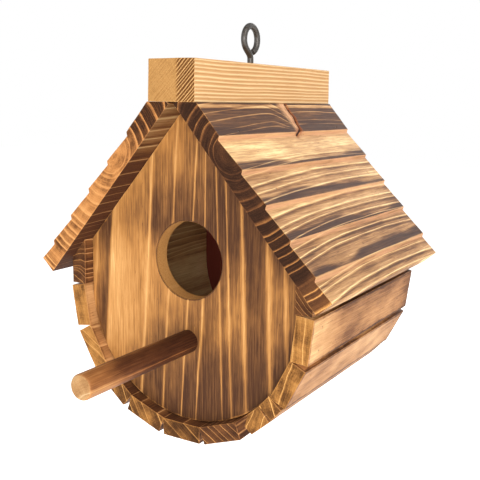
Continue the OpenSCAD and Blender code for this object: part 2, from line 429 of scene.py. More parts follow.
@dataclass(frozen=True)
class Pine:
    """Torched and brushed pine, as worn at the edges as this piece is.

    Attributes:
        figure: Lie of the rings.
        palette: Colours of the long faces.
        end_palette: Colours of the end grain.
        across: Scorch at places across, as stops; on the right roof board it also holds a painted shadow
            along the foot of the ridge block.
        along: Scorch at places along, as stops.
        patches: Strength of uneven scorching.
        end_scorch: Scorch of the end grain at places across, as stops.
        end_lines: Contrast of the rings in the end grain at places across, as stops.
        inner: Darkening of the face that looks inwards, at places along, as stops; it is partly scorch and
            partly painted shade of the inside, of the roof's underside and of the staves in front of the
            panels.
        under: Further darkening of that face at places across, as stops, partly scorch and partly painted
            shade.
        darkening: Share of painted shade, a dark colour laid over the face that looks inwards; on the roof
            boards it stands partly for their scorch.
        inner_shade_colour: Colour of that painted shade.
        lines: Contrast of the rings on the long faces.
        mute: Strength of the pale lines on the long faces at places across, as stops.
        burnt: Whether a hole's edge is burnt, as the attribute "burn" tells.
        wear: Width of the pale worn rim, in millimetres.
        edge: Scorch close to the edges.
        fibre: Strength of the fine fibre streaks.
        gloss: Roughness of the palest wood.
        courses: Milled courses on the top, if there are any, with painted shade above each course edge and
            painted highlight on the riser below it.
        knot: Whether a spike knot runs down the first course.
    """

    figure: Figure
    palette: Palette = STAVE_WOOD
    end_palette: Palette = END_WOOD
    across: Stops = ((-100, 0.0), (100, 0.0))
    along: Stops = ((-100, 0.0), (100, 0.0))
    patches: float = 0.5
    end_scorch: Stops = ((-100, 0.3), (100, 0.3))
    end_lines: Stops = ((-100, 1.0), (100, 1.0))
    inner: Stops = ((-100, 0.6), (100, 0.6))
    under: Stops = ((-100, 0.0), (100, 0.0))
    darkening: float = 0.0
    inner_shade_colour: Colour = srgb(0x28100A)
    lines: float = 1.0
    mute: Stops = ()
    burnt: bool = False
    wear: float = 1.2
    edge: float = 0.0
    fibre: float = 1.0
    gloss: float = 0.5
    courses: Optional[Courses] = None
    knot: Optional["SpikeKnot"] = None

    def material(self, name: str, face: Face) -> bpy.types.Material:
        """Builds the material of one kind of face.

        Args:
            name: Name of the piece.
            face: Kind of face.

        Returns:
            The material.
        """
        made = bpy.data.materials.new(f"{name}_{face.value}")
        bench = Bench(made)
        a, b, c = bench.split(bench.attribute(GRAIN, "Vector"))
        shade = {Face.LONG: self._long, Face.END: self._end, Face.CUT: self._cut}[face]
        shade(bench, a, b, c)
        return made

    def _ring_tone(self, bench: Bench, a: Wire, b: Wire, c: Wire) -> Tuple[Wire, Wire, Wire]:
        """Tone of the rings at a point, with the ring distance and the place along the ring."""
        distance, aside = self.figure.polar(bench, a, b, c)
        low, reach = self.figure.start, self.figure.reach
        tone = bench.tones((distance - low) % reach + low, self.figure.tones, reach)
        return tone, distance, aside

    def _long(self, bench: Bench, a: Wire, b: Wire, c: Wire) -> None:
        """Shades the faces that run with the grain."""
        seed = self.figure.seed
        tone = (self._ring_tone(bench, a, b, c)[0] - 0.52) * self.lines + 0.52
        if self.mute:
            crest = bench.smooth(tone, 0.8, 0.97) * bench.tones(a, self.mute)
            tone = tone.least(0.6) + crest * 0.38
        line = bench.smooth(tone, 0.62, 0.92)
        silk = bench.noise(a * 1.2 + seed, b * 1.2, c * 0.03, 4.0, 0.7)
        hair = bench.noise(a * 2.6, b * 2.6 + seed, c * 0.1, 3.0, 0.7)
        patch = bench.noise(a * 0.06, b * 0.06 + 2 * seed, c * 0.024, 3.0, 0.6)
        scorch = (bench.tones(a, self.across) + bench.tones(c, self.along)
                  + (patch - 0.5) * (4.0 * self.patches))
        # The face that looks inwards gets its own darkening: partly scorch, partly painted shade of the
        # inside and of the roof's underside.
        inside = bench.smooth(b, 1.2, 0.2)
        hidden = bench.tones(c, self.inner) + bench.tones(a, self.under)
        scorch = scorch * (1 - inside) + inside * (hidden + (patch - 0.5) * (2.0 * self.patches))
        rim = bench.attribute(RIM)
        rub = bench.noise(a * 0.22, b * 0.22, c * 0.16 + seed, 3.0, 0.65)
        if self.edge:
            scorch = scorch + bench.smooth(rim + (rub - 0.5) * 2.4, 2.0, 0.5) * self.edge
        if self.burnt:
            scorch = scorch + bench.smooth(bench.attribute(BURN) + (hair - 0.5) * 0.5, 0.85, 0.25) * 1.5
        scorch = scorch.most(-1.0)
        if self.courses:
            scorch, riser_highlight, butt_shade = self._course_shade_and_highlight(bench, a, b, c, scorch)
        worn = bench.smooth(rim - (rub - 0.5) * (2.0 * self.wear), self.wear, 0.0)
        tone = tone - scorch * (1 - line * 0.7) * 0.5
        tone = tone + (silk - 0.5) * (0.8 * self.fibre) + (hair - 0.5) * (0.62 * self.fibre)
        fleck = bench.smooth(bench.noise(a * 1.7, b * 1.7 + seed, c * 0.2, 1.0), 0.7, 0.78)
        tone = tone - fleck * (0.3 * self.fibre)
        tone = tone + (0.8 - tone) * worn * 0.55
        tone = tone.most(silk * 0.9 + hair * 0.3 - 0.55)
        colour = bench.ramp(tone, self.palette.ramp())
        if self.courses:
            # Painted shade: greyish violet above each course edge.
            colour = bench.mix(butt_shade * (1 - line * 0.5), colour, srgb(0x422F29))
            # Painted highlight: peach on the riser below each edge, in patches.
            highlight_blush = bench.smooth(bench.noise(a * 1.3, 5.0, c * 0.04, 2.0), 0.3, 0.62)
            colour = bench.mix(riser_highlight * (0.3 + highlight_blush), colour, srgb(0xD09A72))
        # Painted shade: a dark colour laid over the face that looks inwards, less on the pale ring lines.
        if self.darkening:
            colour = bench.mix(inside * (1 - line * 0.3) * self.darkening, colour, self.inner_shade_colour)
        height = line * 0.5 + silk * 0.6 + hair * 0.5 - fleck * 0.3
        if self.knot:
            colour, height = self.knot.paint(bench, a, c, colour, height)
        rough = self.gloss + (1 - tone) * 0.16 + (hair - 0.5) * 0.2
        bench.surface(colour, rough, height, 0.2, {"Specular IOR Level": 0.14})

    def _course_shade_and_highlight(self, bench: Bench, a: Wire, b: Wire, c: Wire,
                      scorch: Wire) -> Tuple[Wire, Wire, Wire]:
        """Painted shade above each course edge and painted highlight on the riser below it, which also shift
        the scorch there.

        Args:
            bench: Where to add the nodes.
            a: Across place, down the slope.
            b: Up place.
            c: Along place.
            scorch: Scorch so far.

        Returns:
            The scorch, the share of painted highlight below each edge and of painted shade above it.
        """
        courses = self.courses
        down = (a - courses.start) % courses.length
        order = (a - courses.start - down) * (1.37 / courses.length)
        on_top = bench.smooth(b, courses.top - 4.5, courses.top - 3)
        below = bench.smooth(a, courses.start + courses.length - 1, courses.start + courses.length)
        last = bench.smooth(a, courses.start + 5 * courses.length, courses.start + 5 * courses.length - 1)
        sway = bench.noise(order + self.figure.seed, 0.0, c * 0.015, 2.0)
        streak = bench.noise(a * 0.7, order, c * 0.03, 2.0)
        band = bench.smooth(sway, 0.28, 0.72) * 5.5 + 0.9 + (streak - 0.5) * 3
        # Painted shade near the end of each course, above the next edge.
        butt_shade = bench.smooth(down - courses.length + band, -1.4, 1.8) * on_top * last
        # Painted highlight on the riser just below each edge, where the scorch is also lighter.
        riser_lit = bench.smooth(down + (streak - 0.5) * 5, 3.0, 0.6) * below * on_top
        scorch = scorch * (1 - 0.8 * riser_lit) + butt_shade * (0.4 + streak)
        return scorch, riser_lit * 0.6, butt_shade * (0.25 + streak * 0.7)

    def _end(self, bench: Bench, a: Wire, b: Wire, c: Wire) -> None:
        """Shades the end grain."""
        seed = self.figure.seed
        tone, distance, aside = self._ring_tone(bench, a, b, c)
        strength = bench.tones(a, self.end_lines)
        line = bench.smooth(tone, 0.74, 0.94) * strength
        tone = (tone - 0.5) * (strength * 0.35 + 0.12) + 0.46 + line * 0.3
        pore = bench.noise((a + b * 0.7) * 1.5, (b - a * 0.7) * 1.5 + seed, c * 0.5 + 0.37, 3.0, 0.7)
        rays = bench.noise(aside * 1.5, distance * 0.12, seed + 0.4, 2.0, 0.6)
        arcs = bench.noise(distance * 1.7, aside * 0.07, seed, 3.0, 0.7)
        patch = bench.noise(a * 0.11, b * 0.14 + seed, c * 0.1, 2.0)
        scorch = bench.tones(a, self.end_scorch) + (patch - 0.5) * (2.4 * self.patches)
        tone = tone - scorch * (1 - line * 0.75) * 0.55
        tone = tone + (pore - 0.5) * 0.4 + (rays - 0.5) * 0.2 + (arcs - 0.5) * 0.55
        worn = bench.smooth(bench.attribute(RIM) - (pore - 0.5) * 0.9, 0.7, 0.0)
        tone = tone + (0.8 - tone) * worn * 0.4
        tone = tone.most(pore * 0.5 + arcs * 0.8 - 0.6)
        colour = bench.ramp(tone, self.end_palette.ramp())
        height = pore * 0.6 + arcs * 0.4 + rays * 0.4 + line * 0.25
        rough = 0.66 + (1 - tone) * 0.12 + (pore - 0.5) * 0.1
        bench.surface(colour, rough, height, 0.18, {"Specular IOR Level": 0.08})

    def _cut(self, bench: Bench, a: Wire, b: Wire, c: Wire) -> None:
        """Shades the raw wall of a drilled or sawn hole."""
        seed = self.figure.seed
        tone = self._ring_tone(bench, a, b, c)[0] * 0.3 + 0.38
        scratch = bench.noise(a * 0.7 + c * 0.7, b * 3 + seed, c * 0.7 - a * 0.5, 3.0, 0.7)
        pore = bench.noise(a * 1.6, b * 1.6, c * 1.6 + seed, 2.0, 0.7)
        tone = tone + (scratch - 0.5) * 0.5 + (pore - 0.5) * 0.5
        tone = tone - bench.smooth(bench.attribute(RIM), 0.8, 0.2) * 0.5
        colour = bench.ramp(tone, RAW_WOOD.ramp())
        rough = 0.74 + (scratch - 0.5) * 0.14
        bench.surface(colour, rough, scratch * 0.6 + pore * 0.4, 0.2, {"Specular IOR Level": 0.08})


@dataclass(frozen=True)
class SpikeKnot:
    """A split branch stub that runs down the first course and hooks at its lower end.

    Attributes:
        spine: Places down the slope and along the board that the split passes through.
        pale_width: Width of the pale wood in front of the split at its top and foot.
        depth: Depth of the split.
    """

    spine: Tuple[Pair, ...] = ((10.4, 13.7), (15.0, 12.2), (19.6, 13.4), (24.0, 11.0), (28.2, 10.6),
                               (30.8, 5.4))
    pale_width: Pair = (11.0, 6.5)
    depth: float = 0.9

    def gap(self, across: np.ndarray, along: np.ndarray) -> np.ndarray:
        """Distance of points from the split, in millimetres."""
        nearest = np.full(across.shape, 1e9)
        for (a0, c0), (a1, c1) in zip(self.spine, self.spine[1:]):
            span = (a1 - a0) ** 2 + (c1 - c0) ** 2
            share = np.clip(((across - a0) * (a1 - a0) + (along - c0) * (c1 - c0)) / span, 0, 1)
            off = np.hypot(across - a0 - share * (a1 - a0), along - c0 - share * (c1 - c0))
            nearest = np.minimum(nearest, off)
        return nearest

    def paint(self, bench: Bench, a: Wire, c: Wire, colour: Wire, height: Wire) -> Tuple[Wire, Wire]:
        """Adds the knot's colours.

        Args:
            bench: Where to add the nodes.
            a: Place down the slope.
            c: Place along the board.
            colour: Colour so far.
            height: Bump height so far.

        Returns:
            The colour and the height with the knot.
        """
        (a0, c0), (a2, c2), (a3, _) = self.spine[0], self.spine[-2], self.spine[-1]
        ragged = bench.noise(a * 0.5, c * 0.5, 3.0, 3.0, 0.7)
        streaks = bench.noise(a * 0.12, c * 0.9, 8.0, 3.0, 0.7)
        line = bench.tones(a, ((a0, 0.0), (a2, 1.0))) * (c2 - c0) + c0
        off = line - c + (ragged - 0.5) * 3
        share = bench.smooth(a, a0, a3)
        width = share * (self.pale_width[1] - self.pale_width[0]) + self.pale_width[0]
        rows = bench.smooth(a, a3 + 0.6, a3 - 1.2)
        pale = bench.smooth(off / width, 1.1, 0.45) * bench.smooth(off, -0.6, 0.6) * rows
        tint = bench.mix(bench.smooth(streaks, 0.35, 0.65), srgb(0xB87A50), srgb(0xEEC090))
        split = bench.attribute("split")
        darkening = bench.smooth(split + (ragged - 0.5) * 2.2, 1.0, 0.35)
        ember = bench.smooth(split + (ragged - 0.5) * 5, 3.4, 0.6)
        colour = bench.mix(pale * 0.8, colour, tint)
        colour = bench.mix(ember * 0.7, colour, srgb(0x8E4E2A))
        colour = bench.mix(darkening * 0.95, colour, srgb(0x2E1812))
        return colour, height - darkening * 0.8


class Metal(Enum):
    """Metals of the fittings."""

    GUNMETAL = "gunmetal"
    STEEL = "steel"


@dataclass(frozen=True)
class MetalFinish:
    """A dulled metal with darker and brighter spots."""

    metal: Metal
    colour: Colour
    spot: Colour
    rough: float

    def material(self, name: str) -> bpy.types.Material:
        """Builds the metal.

        Args:
            name: Name of the piece.

        Returns:
            The material.
        """
        made = bpy.data.materials.new(f"{name}_{self.metal.value}")
        bench = Bench(made)
        place = bench.node("ShaderNodeTexCoord", out="Object")
        x, y, z = (part * (1 / MM) for part in bench.split(place))
        cloud = bench.noise(x * 0.3, y * 0.3, z * 0.3, 3.0, 0.55)
        grit = bench.noise(x * 3, y * 3, z * 2, 2.0, 0.6)
        rust = bench.smooth(cloud + (grit - 0.5) * 0.2, 0.52, 0.7)
        colour = bench.mix(rust, self.colour, self.spot)
        rough = self.rough + (cloud - 0.5) * 0.3 + rust * 0.12
        bench.surface(colour, rough, cloud * 0.7 + grit * 0.3, 0.04, {"Metallic": 0.85})
        return made


GUNMETAL = MetalFinish(Metal.GUNMETAL, srgb(0x5C5956), srgb(0x4A423A), 0.5)
DULL_STEEL = MetalFinish(Metal.STEEL, srgb(0x685C50), srgb(0x543C2A), 0.55)


def grown(seed: int, reach: float, pitch: float, dark: float = 0.34, light: float = 0.62) -> Stops:
    """Makes the tones of irregular rings: a thin pale line, then wood that slowly lightens.

    Args:
        seed: Seed of the random spacing.
        reach: Distance that the tones fill.
        pitch: Mean distance between lines.
        dark: Tone straight after a line.
        light: Tone just before the next.

    Returns:
        The stops, at most 31 of them.
    """
    random = np.random.default_rng(seed)
    count = min(max(int(round(reach / pitch)), 1), 7)
    widths = random.uniform(0.55, 1.45, count)
    edges = np.concatenate([[0.0], np.cumsum(widths) / widths.sum()]) * reach
    stops: List[Pair] = []
    for left, right in zip(edges, edges[1:]):
        line = min(random.uniform(0.05, 0.14) * (right - left) + 0.2, 1.3)
        low = dark + random.uniform(-0.16, 0.1)
        high = light + random.uniform(-0.1, 0.08)
        stops += [(left, random.uniform(0.86, 0.98)), (left + line, low),
                  (left + 0.55 * (right - left), 0.5 * (low + high)), (right - 0.3, high)]
    stops.append((reach, stops[0][1]))
    return tuple(stops)


# ---- Meshes ----


def ripple(points: np.ndarray, period: float, seed: int) -> np.ndarray:
    """Smooth noise from -1 to 1 at points.

    Args:
        points: Places, one row each, in millimetres.
        period: Size of the bumps, in millimetres.
        seed: Seed of the directions.

    Returns:
        One value for each point.
    """
    random = np.random.default_rng(seed)
    total = np.zeros(len(points))
    for octave in range(5):
        turn = random.normal(size=3)
        turn *= (1 + 0.7 * octave) * 2 * math.pi / (period * np.linalg.norm(turn))
        total += np.sin(points @ turn + random.uniform(0, 2 * math.pi)) / (1 + 0.5 * octave)
    return total / 2.6


CLOSE = (0.0, 0.12, 0.3, 0.55, 0.9, 1.5, 2.3)


def stations(length: float, step: float, extra: Sequence[float] = ()) -> np.ndarray:
    """Places of the grid lines along one side of a piece, close together at both ends.

    Args:
        length: Length of the side, in millimetres.
        step: Largest distance between lines away from the ends.
        extra: More places to put a line at.

    Returns:
        The sorted places.
    """
    close = [place for place in CLOSE if place < length / 2 - 0.2]
    inner = np.arange(close[-1], length - close[-1] + 1e-6, step)
    inner = np.linspace(close[-1], length - close[-1], max(len(inner), 2))
    places = np.concatenate([close, inner, length - np.array(close), np.asarray(extra, float)])
    places = np.unique(places.round(3))
    keep = np.concatenate([[True], np.diff(places) > 0.04])
    keep[-1] = True
    return places[keep & (places >= 0) & (places <= length)]


def spread(places: Sequence[float], offsets: Sequence[float]) -> List[float]:
    """Every place with every offset added."""
    return [place + offset for place in places for offset in offsets]


def box_skin(counts: Tuple[int, int, int]) -> Tuple[np.ndarray, np.ndarray, np.ndarray]:
    """The outer grid of a box.

    Args:
        counts: Number of grid lines along each of its three directions.

    Returns:
        Corner numbers, quads facing outwards, and for each quad the axis that it faces.
    """
    grid = np.indices(counts).reshape(3, -1).T
    outer = ((grid == 0) | (grid == np.array(counts) - 1)).any(axis=1)
    corners = grid[outer]
    numbers = -np.ones(counts, int)
    numbers[tuple(corners.T)] = np.arange(len(corners))
    quads, axes = [], []
    for axis in range(3):
        for side in (0, counts[axis] - 1):
            sheet = np.take(numbers, side, axis=axis)
            if axis == 1:
                sheet = sheet.T
            if side == 0:
                sheet = sheet.T
            cells = np.stack([sheet[:-1, :-1], sheet[1:, :-1], sheet[1:, 1:], sheet[:-1, 1:]], axis=-1)
            quads.append(cells.reshape(-1, 4))
            axes.append(np.full(len(quads[-1]), axis))
    return corners, np.concatenate(quads), np.concatenate(axes)


def rings(rows: int, count: int, closed: bool = False) -> Tuple[np.ndarray, np.ndarray]:
    """Joins rings of corners.

    Args:
        rows: Number of rings.
        count: Corners in each ring.
        closed: Whether the last ring is joined to the first.

    Returns:
        Corner numbers, one row for each ring, and the quads between the rings.
    """
    index = np.arange(rows * count).reshape(rows, count)
    step, after = np.roll(index, -1, axis=1), np.roll(np.arange(rows), -1)
    quads = np.stack([index, index[after], step[after], step], axis=-1)
    return index, quads[:rows if closed else -1].reshape(-1, 4)


def enclosed(points: np.ndarray, quads: np.ndarray) -> float:
    """Signed volume inside closed quads; it is negative where they face inwards."""
    p = points[quads]
    first = np.einsum("ij,ij->i", p[:, 0], np.cross(p[:, 1], p[:, 2]))
    second = np.einsum("ij,ij->i", p[:, 0], np.cross(p[:, 2], p[:, 3]))
    return float((first + second).sum() / 6)


def make_piece(name: str, points: np.ndarray, quads: np.ndarray, slots: np.ndarray,
               materials: Sequence[bpy.types.Material], grain: np.ndarray,
               values: Dict[str, np.ndarray]) -> bpy.types.Object:
    """Makes a closed smooth mesh and its object at the origin.

    Args:
        name: Name of the piece.
        points: Corners in the row frame, in millimetres.
        quads: Corner numbers of each face.
        slots: Material slot of each face.
        materials: The materials.
        grain: Across, up and along place of each corner.
        values: Number attributes of the corners, by name.

    Returns:
        The object.
    """
    if enclosed(points, quads) < 0:
        quads = quads[:, ::-1]
    mesh = bpy.data.meshes.new(name)
    mesh.from_pydata((points * MM).tolist(), [], quads.tolist())
    for material in materials:
        mesh.materials.append(material)
    mesh.polygons.foreach_set("material_index", slots.astype(np.int32))
    mesh.polygons.foreach_set("use_smooth", np.ones(len(quads), bool))
    for key, numbers in {GRAIN: grain, **values}.items():
        add_attribute(mesh, key, numbers)
    mesh.update()
    return add_object(name, mesh)


Place = Callable[[np.ndarray], np.ndarray]


@dataclass
class Timber:
    """A sawn piece: a box grid with worn edges that is laid into the row frame.

    Attributes:
        name: Name of the piece and of the CAD node that it replaces.
        size: Across, up and along size of the grid, in millimetres.
        place: Lays grid places into the row frame.
        pine: Finish.
        slot: Record's material slot.
        worn: Mean radius of the worn edges.
        step: Largest distance between grid lines.
        extra: More grid lines in each direction.
        pits: Across and along places of pin holes on the outer face, with their radius and depth.
        grain_from: Added to grid places to give the grain places that the finish reads.
        crest: Across places that count as edges too, on the outer face.
        dents: Depth to press in at grid places, if any.
        marks: More number attributes, worked out from grid places.
    """

    name: str
    size: Tuple[float, float, float]
    place: Place
    pine: Pine
    slot: str
    worn: float = 0.5
    step: float = 1.6
    extra: Tuple[Sequence[float], Sequence[float], Sequence[float]] = ((), (), ())
    pits: Sequence[Pair] = ()
    pit: Pair = (0.62, 0.5)
    grain_from: Tuple[float, float, float] = (0.0, 0.0, 0.0)
    crest: Sequence[float] = ()
    dents: Optional[Place] = None
    marks: Dict[str, Place] = field(default_factory=dict)
    seed: int = 0

    def build(self) -> bpy.types.Object:
        """Builds the piece and ties it to its node.

        Returns:
            The finished object.
        """
        size = np.array(self.size, float)
        pit_lines = (-0.7, -0.45, -0.2, 0.0, 0.2, 0.45, 0.7)
        extra = [list(lines) for lines in self.extra]
        for axis, which in ((0, 0), (2, 1)):
            extra[axis] += spread(sorted({pit[which] for pit in self.pits}), pit_lines)
        lines = [stations(size[axis], self.step, extra[axis]) for axis in range(3)]
        corners, quads, axes = box_skin(tuple(len(line) for line in lines))
        flat = np.stack([lines[axis][corners[:, axis]] for axis in range(3)], axis=1)
        inset = np.minimum(flat, size - flat)
        rim = np.sort(inset, axis=1)[:, 1]
        outer = flat[:, 1] > size[1] - 1e-6
        for crest in self.crest:
            rim = np.where(outer, np.minimum(rim, np.abs(flat[:, 0] - crest)), rim)
        radius = self.worn * (1 + 0.45 * ripple(flat, 17, self.seed) + 0.3 * ripple(flat, 5, self.seed + 7))
        shown = 0.15 + 0.85 * np.clip(flat[:, 1] / size[1] * 2 - 0.2, 0, 1)
        radius = np.clip(radius * shown, 0.06, min(size) / 2.2)[:, None]
        core = np.clip(flat, radius, size - radius)
        away = flat - core
        outward = away / np.maximum(np.linalg.norm(away, axis=1), 1e-9)[:, None]
        sunk = 0.08 * (1 + ripple(flat, 23, self.seed + 3)) * shown
        for across, along in self.pits:
            off = np.hypot(flat[:, 0] - across, flat[:, 2] - along)
            sunk = sunk + np.where(outer, self.pit[1] * np.clip((self.pit[0] - off) * 5, 0, 1), 0)
        if self.dents:
            sunk = sunk + self.dents(flat) * outer
        points = self.place(core + outward * (radius - sunk[:, None]))
        grain = flat + np.array(self.grain_from)
        values = {RIM: rim, **{key: mark(flat) for key, mark in self.marks.items()}}
        materials = [self.pine.material(self.name, face) for face in (Face.LONG, Face.END)]
        made = make_piece(self.name, points, quads, (axes == 2).astype(int), materials, grain, values)
        return attach(made, HOUSE, self.slot, self.name)


def attach(piece: bpy.types.Object, body: str, slot: str, *nodes: str) -> bpy.types.Object:
    """Ties a finished piece to its body and hides the nodes that it stands for.

    Args:
        piece: Finished object at the origin.
        body: CAD body that it rides on.
        slot: Record's material slot; not used.
        nodes: CAD nodes that it replaces.

    Returns:
        The same object.
    """
    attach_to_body(piece, body)
    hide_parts(*nodes)
    LOG.info("%s: %d faces on %s", piece.name, len(piece.data.polygons), body)
    return piece


# ---- Roof ----


@dataclass
class Section:
    """Sizes of the arched section that the roof, the panels and the staves share."""

    pitch: float = 49.4
    apex_rise: float = 0.7
    ridge_gap: float = 3.0
    radius: float = 64.2
    drop: float = 99.7

    @property
    def slope(self) -> float:
        """Fall of the roof's underside for each millimetre across."""
        return math.tan(math.radians(self.pitch))


@dataclass
class Roof(Section):
    """Two stepped boards that meet under the ridge block."""

    thick: float = 10.6
    courses: int = 5
    course: float = 19.7
    last: float = 13.7
    step_drop: float = 1.7
    run: float = 1.2
    pin_courses: Tuple[float, ...] = (0.9, 2.6, 4.3)

    BUTT_LINES = (-1.4, -0.6, -0.25, -0.05, 0.05, 0.3, 0.7, 1.1, 1.3, 1.7, 2.4)
    KNOT_ACROSS = np.arange(9, 32, 0.6)
    KNOT_ALONG = np.arange(68, 92, 0.6)

    def __post_init__(self) -> None:
        """Works out the section from the driving sizes."""
        angle = math.radians(self.pitch)
        self.down = np.array([math.cos(angle), -math.sin(angle)])
        self.out = np.array([math.sin(angle), math.cos(angle)])
        self.start = (self.apex_rise + self.thick * self.out[1]) / self.out[0]
        self.eave = self.start + self.courses * self.course + self.last
        self.foot = self.ridge_gap / 2 / self.down[0]

    def top(self, slope: np.ndarray) -> np.ndarray:
        """Height of the outer face above the underside, at places down the slope."""
        into = (slope - self.start) % self.course
        count = np.floor((slope - self.start) / self.course)
        ramp = self.thick - self.step_drop * (1 - (into - self.run) / (self.course - self.run))
        fall = self.thick - self.step_drop * into / self.run
        stepped = np.where(into < self.run, fall, ramp)
        stepped = np.where(count < 1, self.thick, stepped)
        seat = (slope * self.out[0] - self.apex_rise) / self.out[1]
        return np.where(slope < self.start, np.minimum(seat, self.thick), stepped)

    def section(self, places: np.ndarray, side: int) -> np.ndarray:
        """Lays grid places into the row frame.

        Args:
            places: Down the slope, up through the board and along it.
            side: 1 for the right board, -1 for the left.

        Returns:
            Row frame places.
        """
        slope = places[:, 0] + self.foot
        top = self.top(slope)
        up = places[:, 1] / self.thick * top
        x = slope * self.down[0] + up * self.out[0]
        z = self.apex_rise + slope * self.down[1] + up * self.out[1]
        x = np.maximum(x, self.ridge_gap / 2)
        z = np.where(slope < self.start, np.minimum(z, 0.0), z)
        return np.stack([side * x, places[:, 2] + FRONT, z + SEAT], axis=1)

    def build(self) -> None:
        """Builds both boards."""
        butts = [self.start + i * self.course - self.foot for i in range(1, self.courses + 1)]
        pits = [(self.start + course * self.course - self.foot, mid - FRONT)
                for course in self.pin_courses for mid in PANEL_MIDS]
        knot = SpikeKnot()
        seat_line = self.start - self.foot
        for side, node, pine in ((1, "right_roof_board", self.right_pine(knot)),
                                 (-1, "left_roof_board", self.left_pine())):
            across, along = spread(butts, self.BUTT_LINES) + [seat_line, seat_line + 0.4], []
            marks, dents = {}, None
            if side > 0:
                across, along = across + list(self.KNOT_ACROSS), self.KNOT_ALONG
                marks = {"split": lambda flat: self._split(knot, flat)}
                dents = lambda flat: knot.depth * np.clip(1.15 - self._split(knot, flat), 0, 1) ** 0.7
            Timber(node, (self.eave - self.foot, self.thick, BACK - FRONT),
                   lambda places, s=side: self.section(places, s), pine, "roof_wood",
                   worn=0.4, step=1.7, extra=(across, (), along), pits=pits,
                   grain_from=(self.foot, 0.0, FRONT), crest=butts, dents=dents, marks=marks,
                   seed=40 + side).build()

    def pin_rows(self, below: float) -> Tuple[np.ndarray, np.ndarray]:
        """Pins through the boards into the two panels.

        Args:
            below: Depth of the pins' ends under the surface.

        Returns:
            Places of the outer ends in the row frame, and directions outwards.
        """
        places, ways = [], []
        for along in PANEL_MIDS:
            for course in self.pin_courses:
                slope = self.start + course * self.course
                up = float(self.top(np.array([slope]))[0]) - below
                x, z = np.array([0.0, self.apex_rise]) + slope * self.down + up * self.out
                for side in (-1, 1):
                    places.append([side * x, along, z + SEAT])
                    ways.append([side * self.out[0], 0.0, self.out[1]])
        return np.array(places), np.array(ways)

    def _split(self, knot: SpikeKnot, flat: np.ndarray) -> np.ndarray:
        """Distance of grid places from the knot's split."""
        return knot.gap(flat[:, 0] + self.foot, flat[:, 2] + FRONT)

    LINES = (9.8, 12.6, 18.5, 23.1, 28.2, 35.8, 41.8, 44.8, 49.4, 53.2, 58.0, 61.6)

    def _rings(self) -> Stops:
        """Tones of the boards' rings: pale heart, then thin lines at the chosen radii."""
        stops: List[Pair] = [(0.0, 0.74), (5.0, 0.84), (9.0, 0.7)]
        for i, (line, after) in enumerate(zip(self.LINES, self.LINES[1:] + (64.0,))):
            low = 0.3 + 0.1 * math.sin(2.3 * i)
            stops += [(line, 0.98), (line + 0.9, low)]
            if i % 4 == 1:
                stops.append((line + 0.6 * (after - line), 0.6))
        return tuple(stops + [(64.0, 0.6)])

    def _figure(self, pith: float, squash: float, seed: float) -> Figure:
        """Rings that curl round a pith near the outer face of the second course."""
        return Figure(self._rings(), 0.0, 64.0, Growth.ROUND, (pith, self.thick - 0.5), squash,
                      bow=(5.4, 24.0, 98.0), wander=0.9, seed=seed)

    def right_pine(self, knot: SpikeKnot) -> Pine:
        """Finish of the right board."""
        marks = Courses(self.start, self.course, self.thick)
        figure = replace(self._figure(39.8, 1.1, 3.1), swerve=(9.0, -20.0, 9.0, 12.0, 29.0))
        return Pine(figure, ROOF_WOOD, DARK_END_WOOD,
                    # The dark stop at 10.6 is a painted shadow along the foot of the ridge block.
                    across=((0, 0.6), (10.6, 1.3), (11.4, -0.1), (13.0, -0.1), (13.8, 1.3), (16.4, 1.0),
                            (28, 0.8), (30, -0.1), (36, -0.4), (46, -0.4), (50, -0.1), (70, 0.0),
                            (88, 0.3), (106, 0.2), (125, -0.1)),
                    along=((FRONT, 0.0), (BACK, 0.1)), patches=0.42,
                    end_scorch=((0, 0.9), (30, 0.75), (52, 0.9), (62, 0.7), (75, 0.95), (85, 1.15),
                                (106, 1.0), (112, 0.2), (125, 0.0)),
                    end_lines=((0, 0.7), (30, 0.6), (38, 0.3), (64, 0.4), (72, 0.6), (80, 0.85), (125, 0.9)),
                    mute=((0, 0.55), (28, 0.55), (30, 0.8), (125, 1.0)),
                    # Underside: scorch and painted shade under the roof.
                    inner=((-80, 1.2), (80, 1.2)), darkening=0.3, inner_shade_colour=srgb(0x602E10), wear=0.7, fibre=1.05,
                    gloss=0.5, courses=marks, knot=knot)

    def left_pine(self) -> Pine:
        """Finish of the left board."""
        marks = Courses(self.start, self.course, self.thick)
        return Pine(self._figure(45.0, 1.15, 11.7), ROOF_WOOD, TAN_END_WOOD,
                    across=((0, 0.4), (40, 0.1), (70, 0.2), (125, 0.3)),
                    along=((FRONT, 0.15), (BACK, 0.2)), patches=0.5,
                    end_scorch=((0, 1.2), (24, 0.8), (31, 0.2), (60, 0.0), (100, 0.05), (108, 0.3),
                                (125, 0.1)),
                    end_lines=((0, 0.7), (28, 0.6), (34, 0.25), (60, 0.4), (90, 0.7), (125, 1.0)),
                    mute=((0, 0.7), (125, 0.9)),
                    # Underside: scorch and painted shade under the roof, more towards the eave.
                    inner=((-80, 1.2), (80, 1.2)),
                    under=((0, -1.3), (28, -1.1), (46, 0.3), (62, 1.1), (90, 1.7), (125, 2.2)),
                    darkening=0.6, inner_shade_colour=srgb(0x441F07), wear=0.7, fibre=1.05, gloss=0.5, courses=marks)


# ---- Ridge block ----


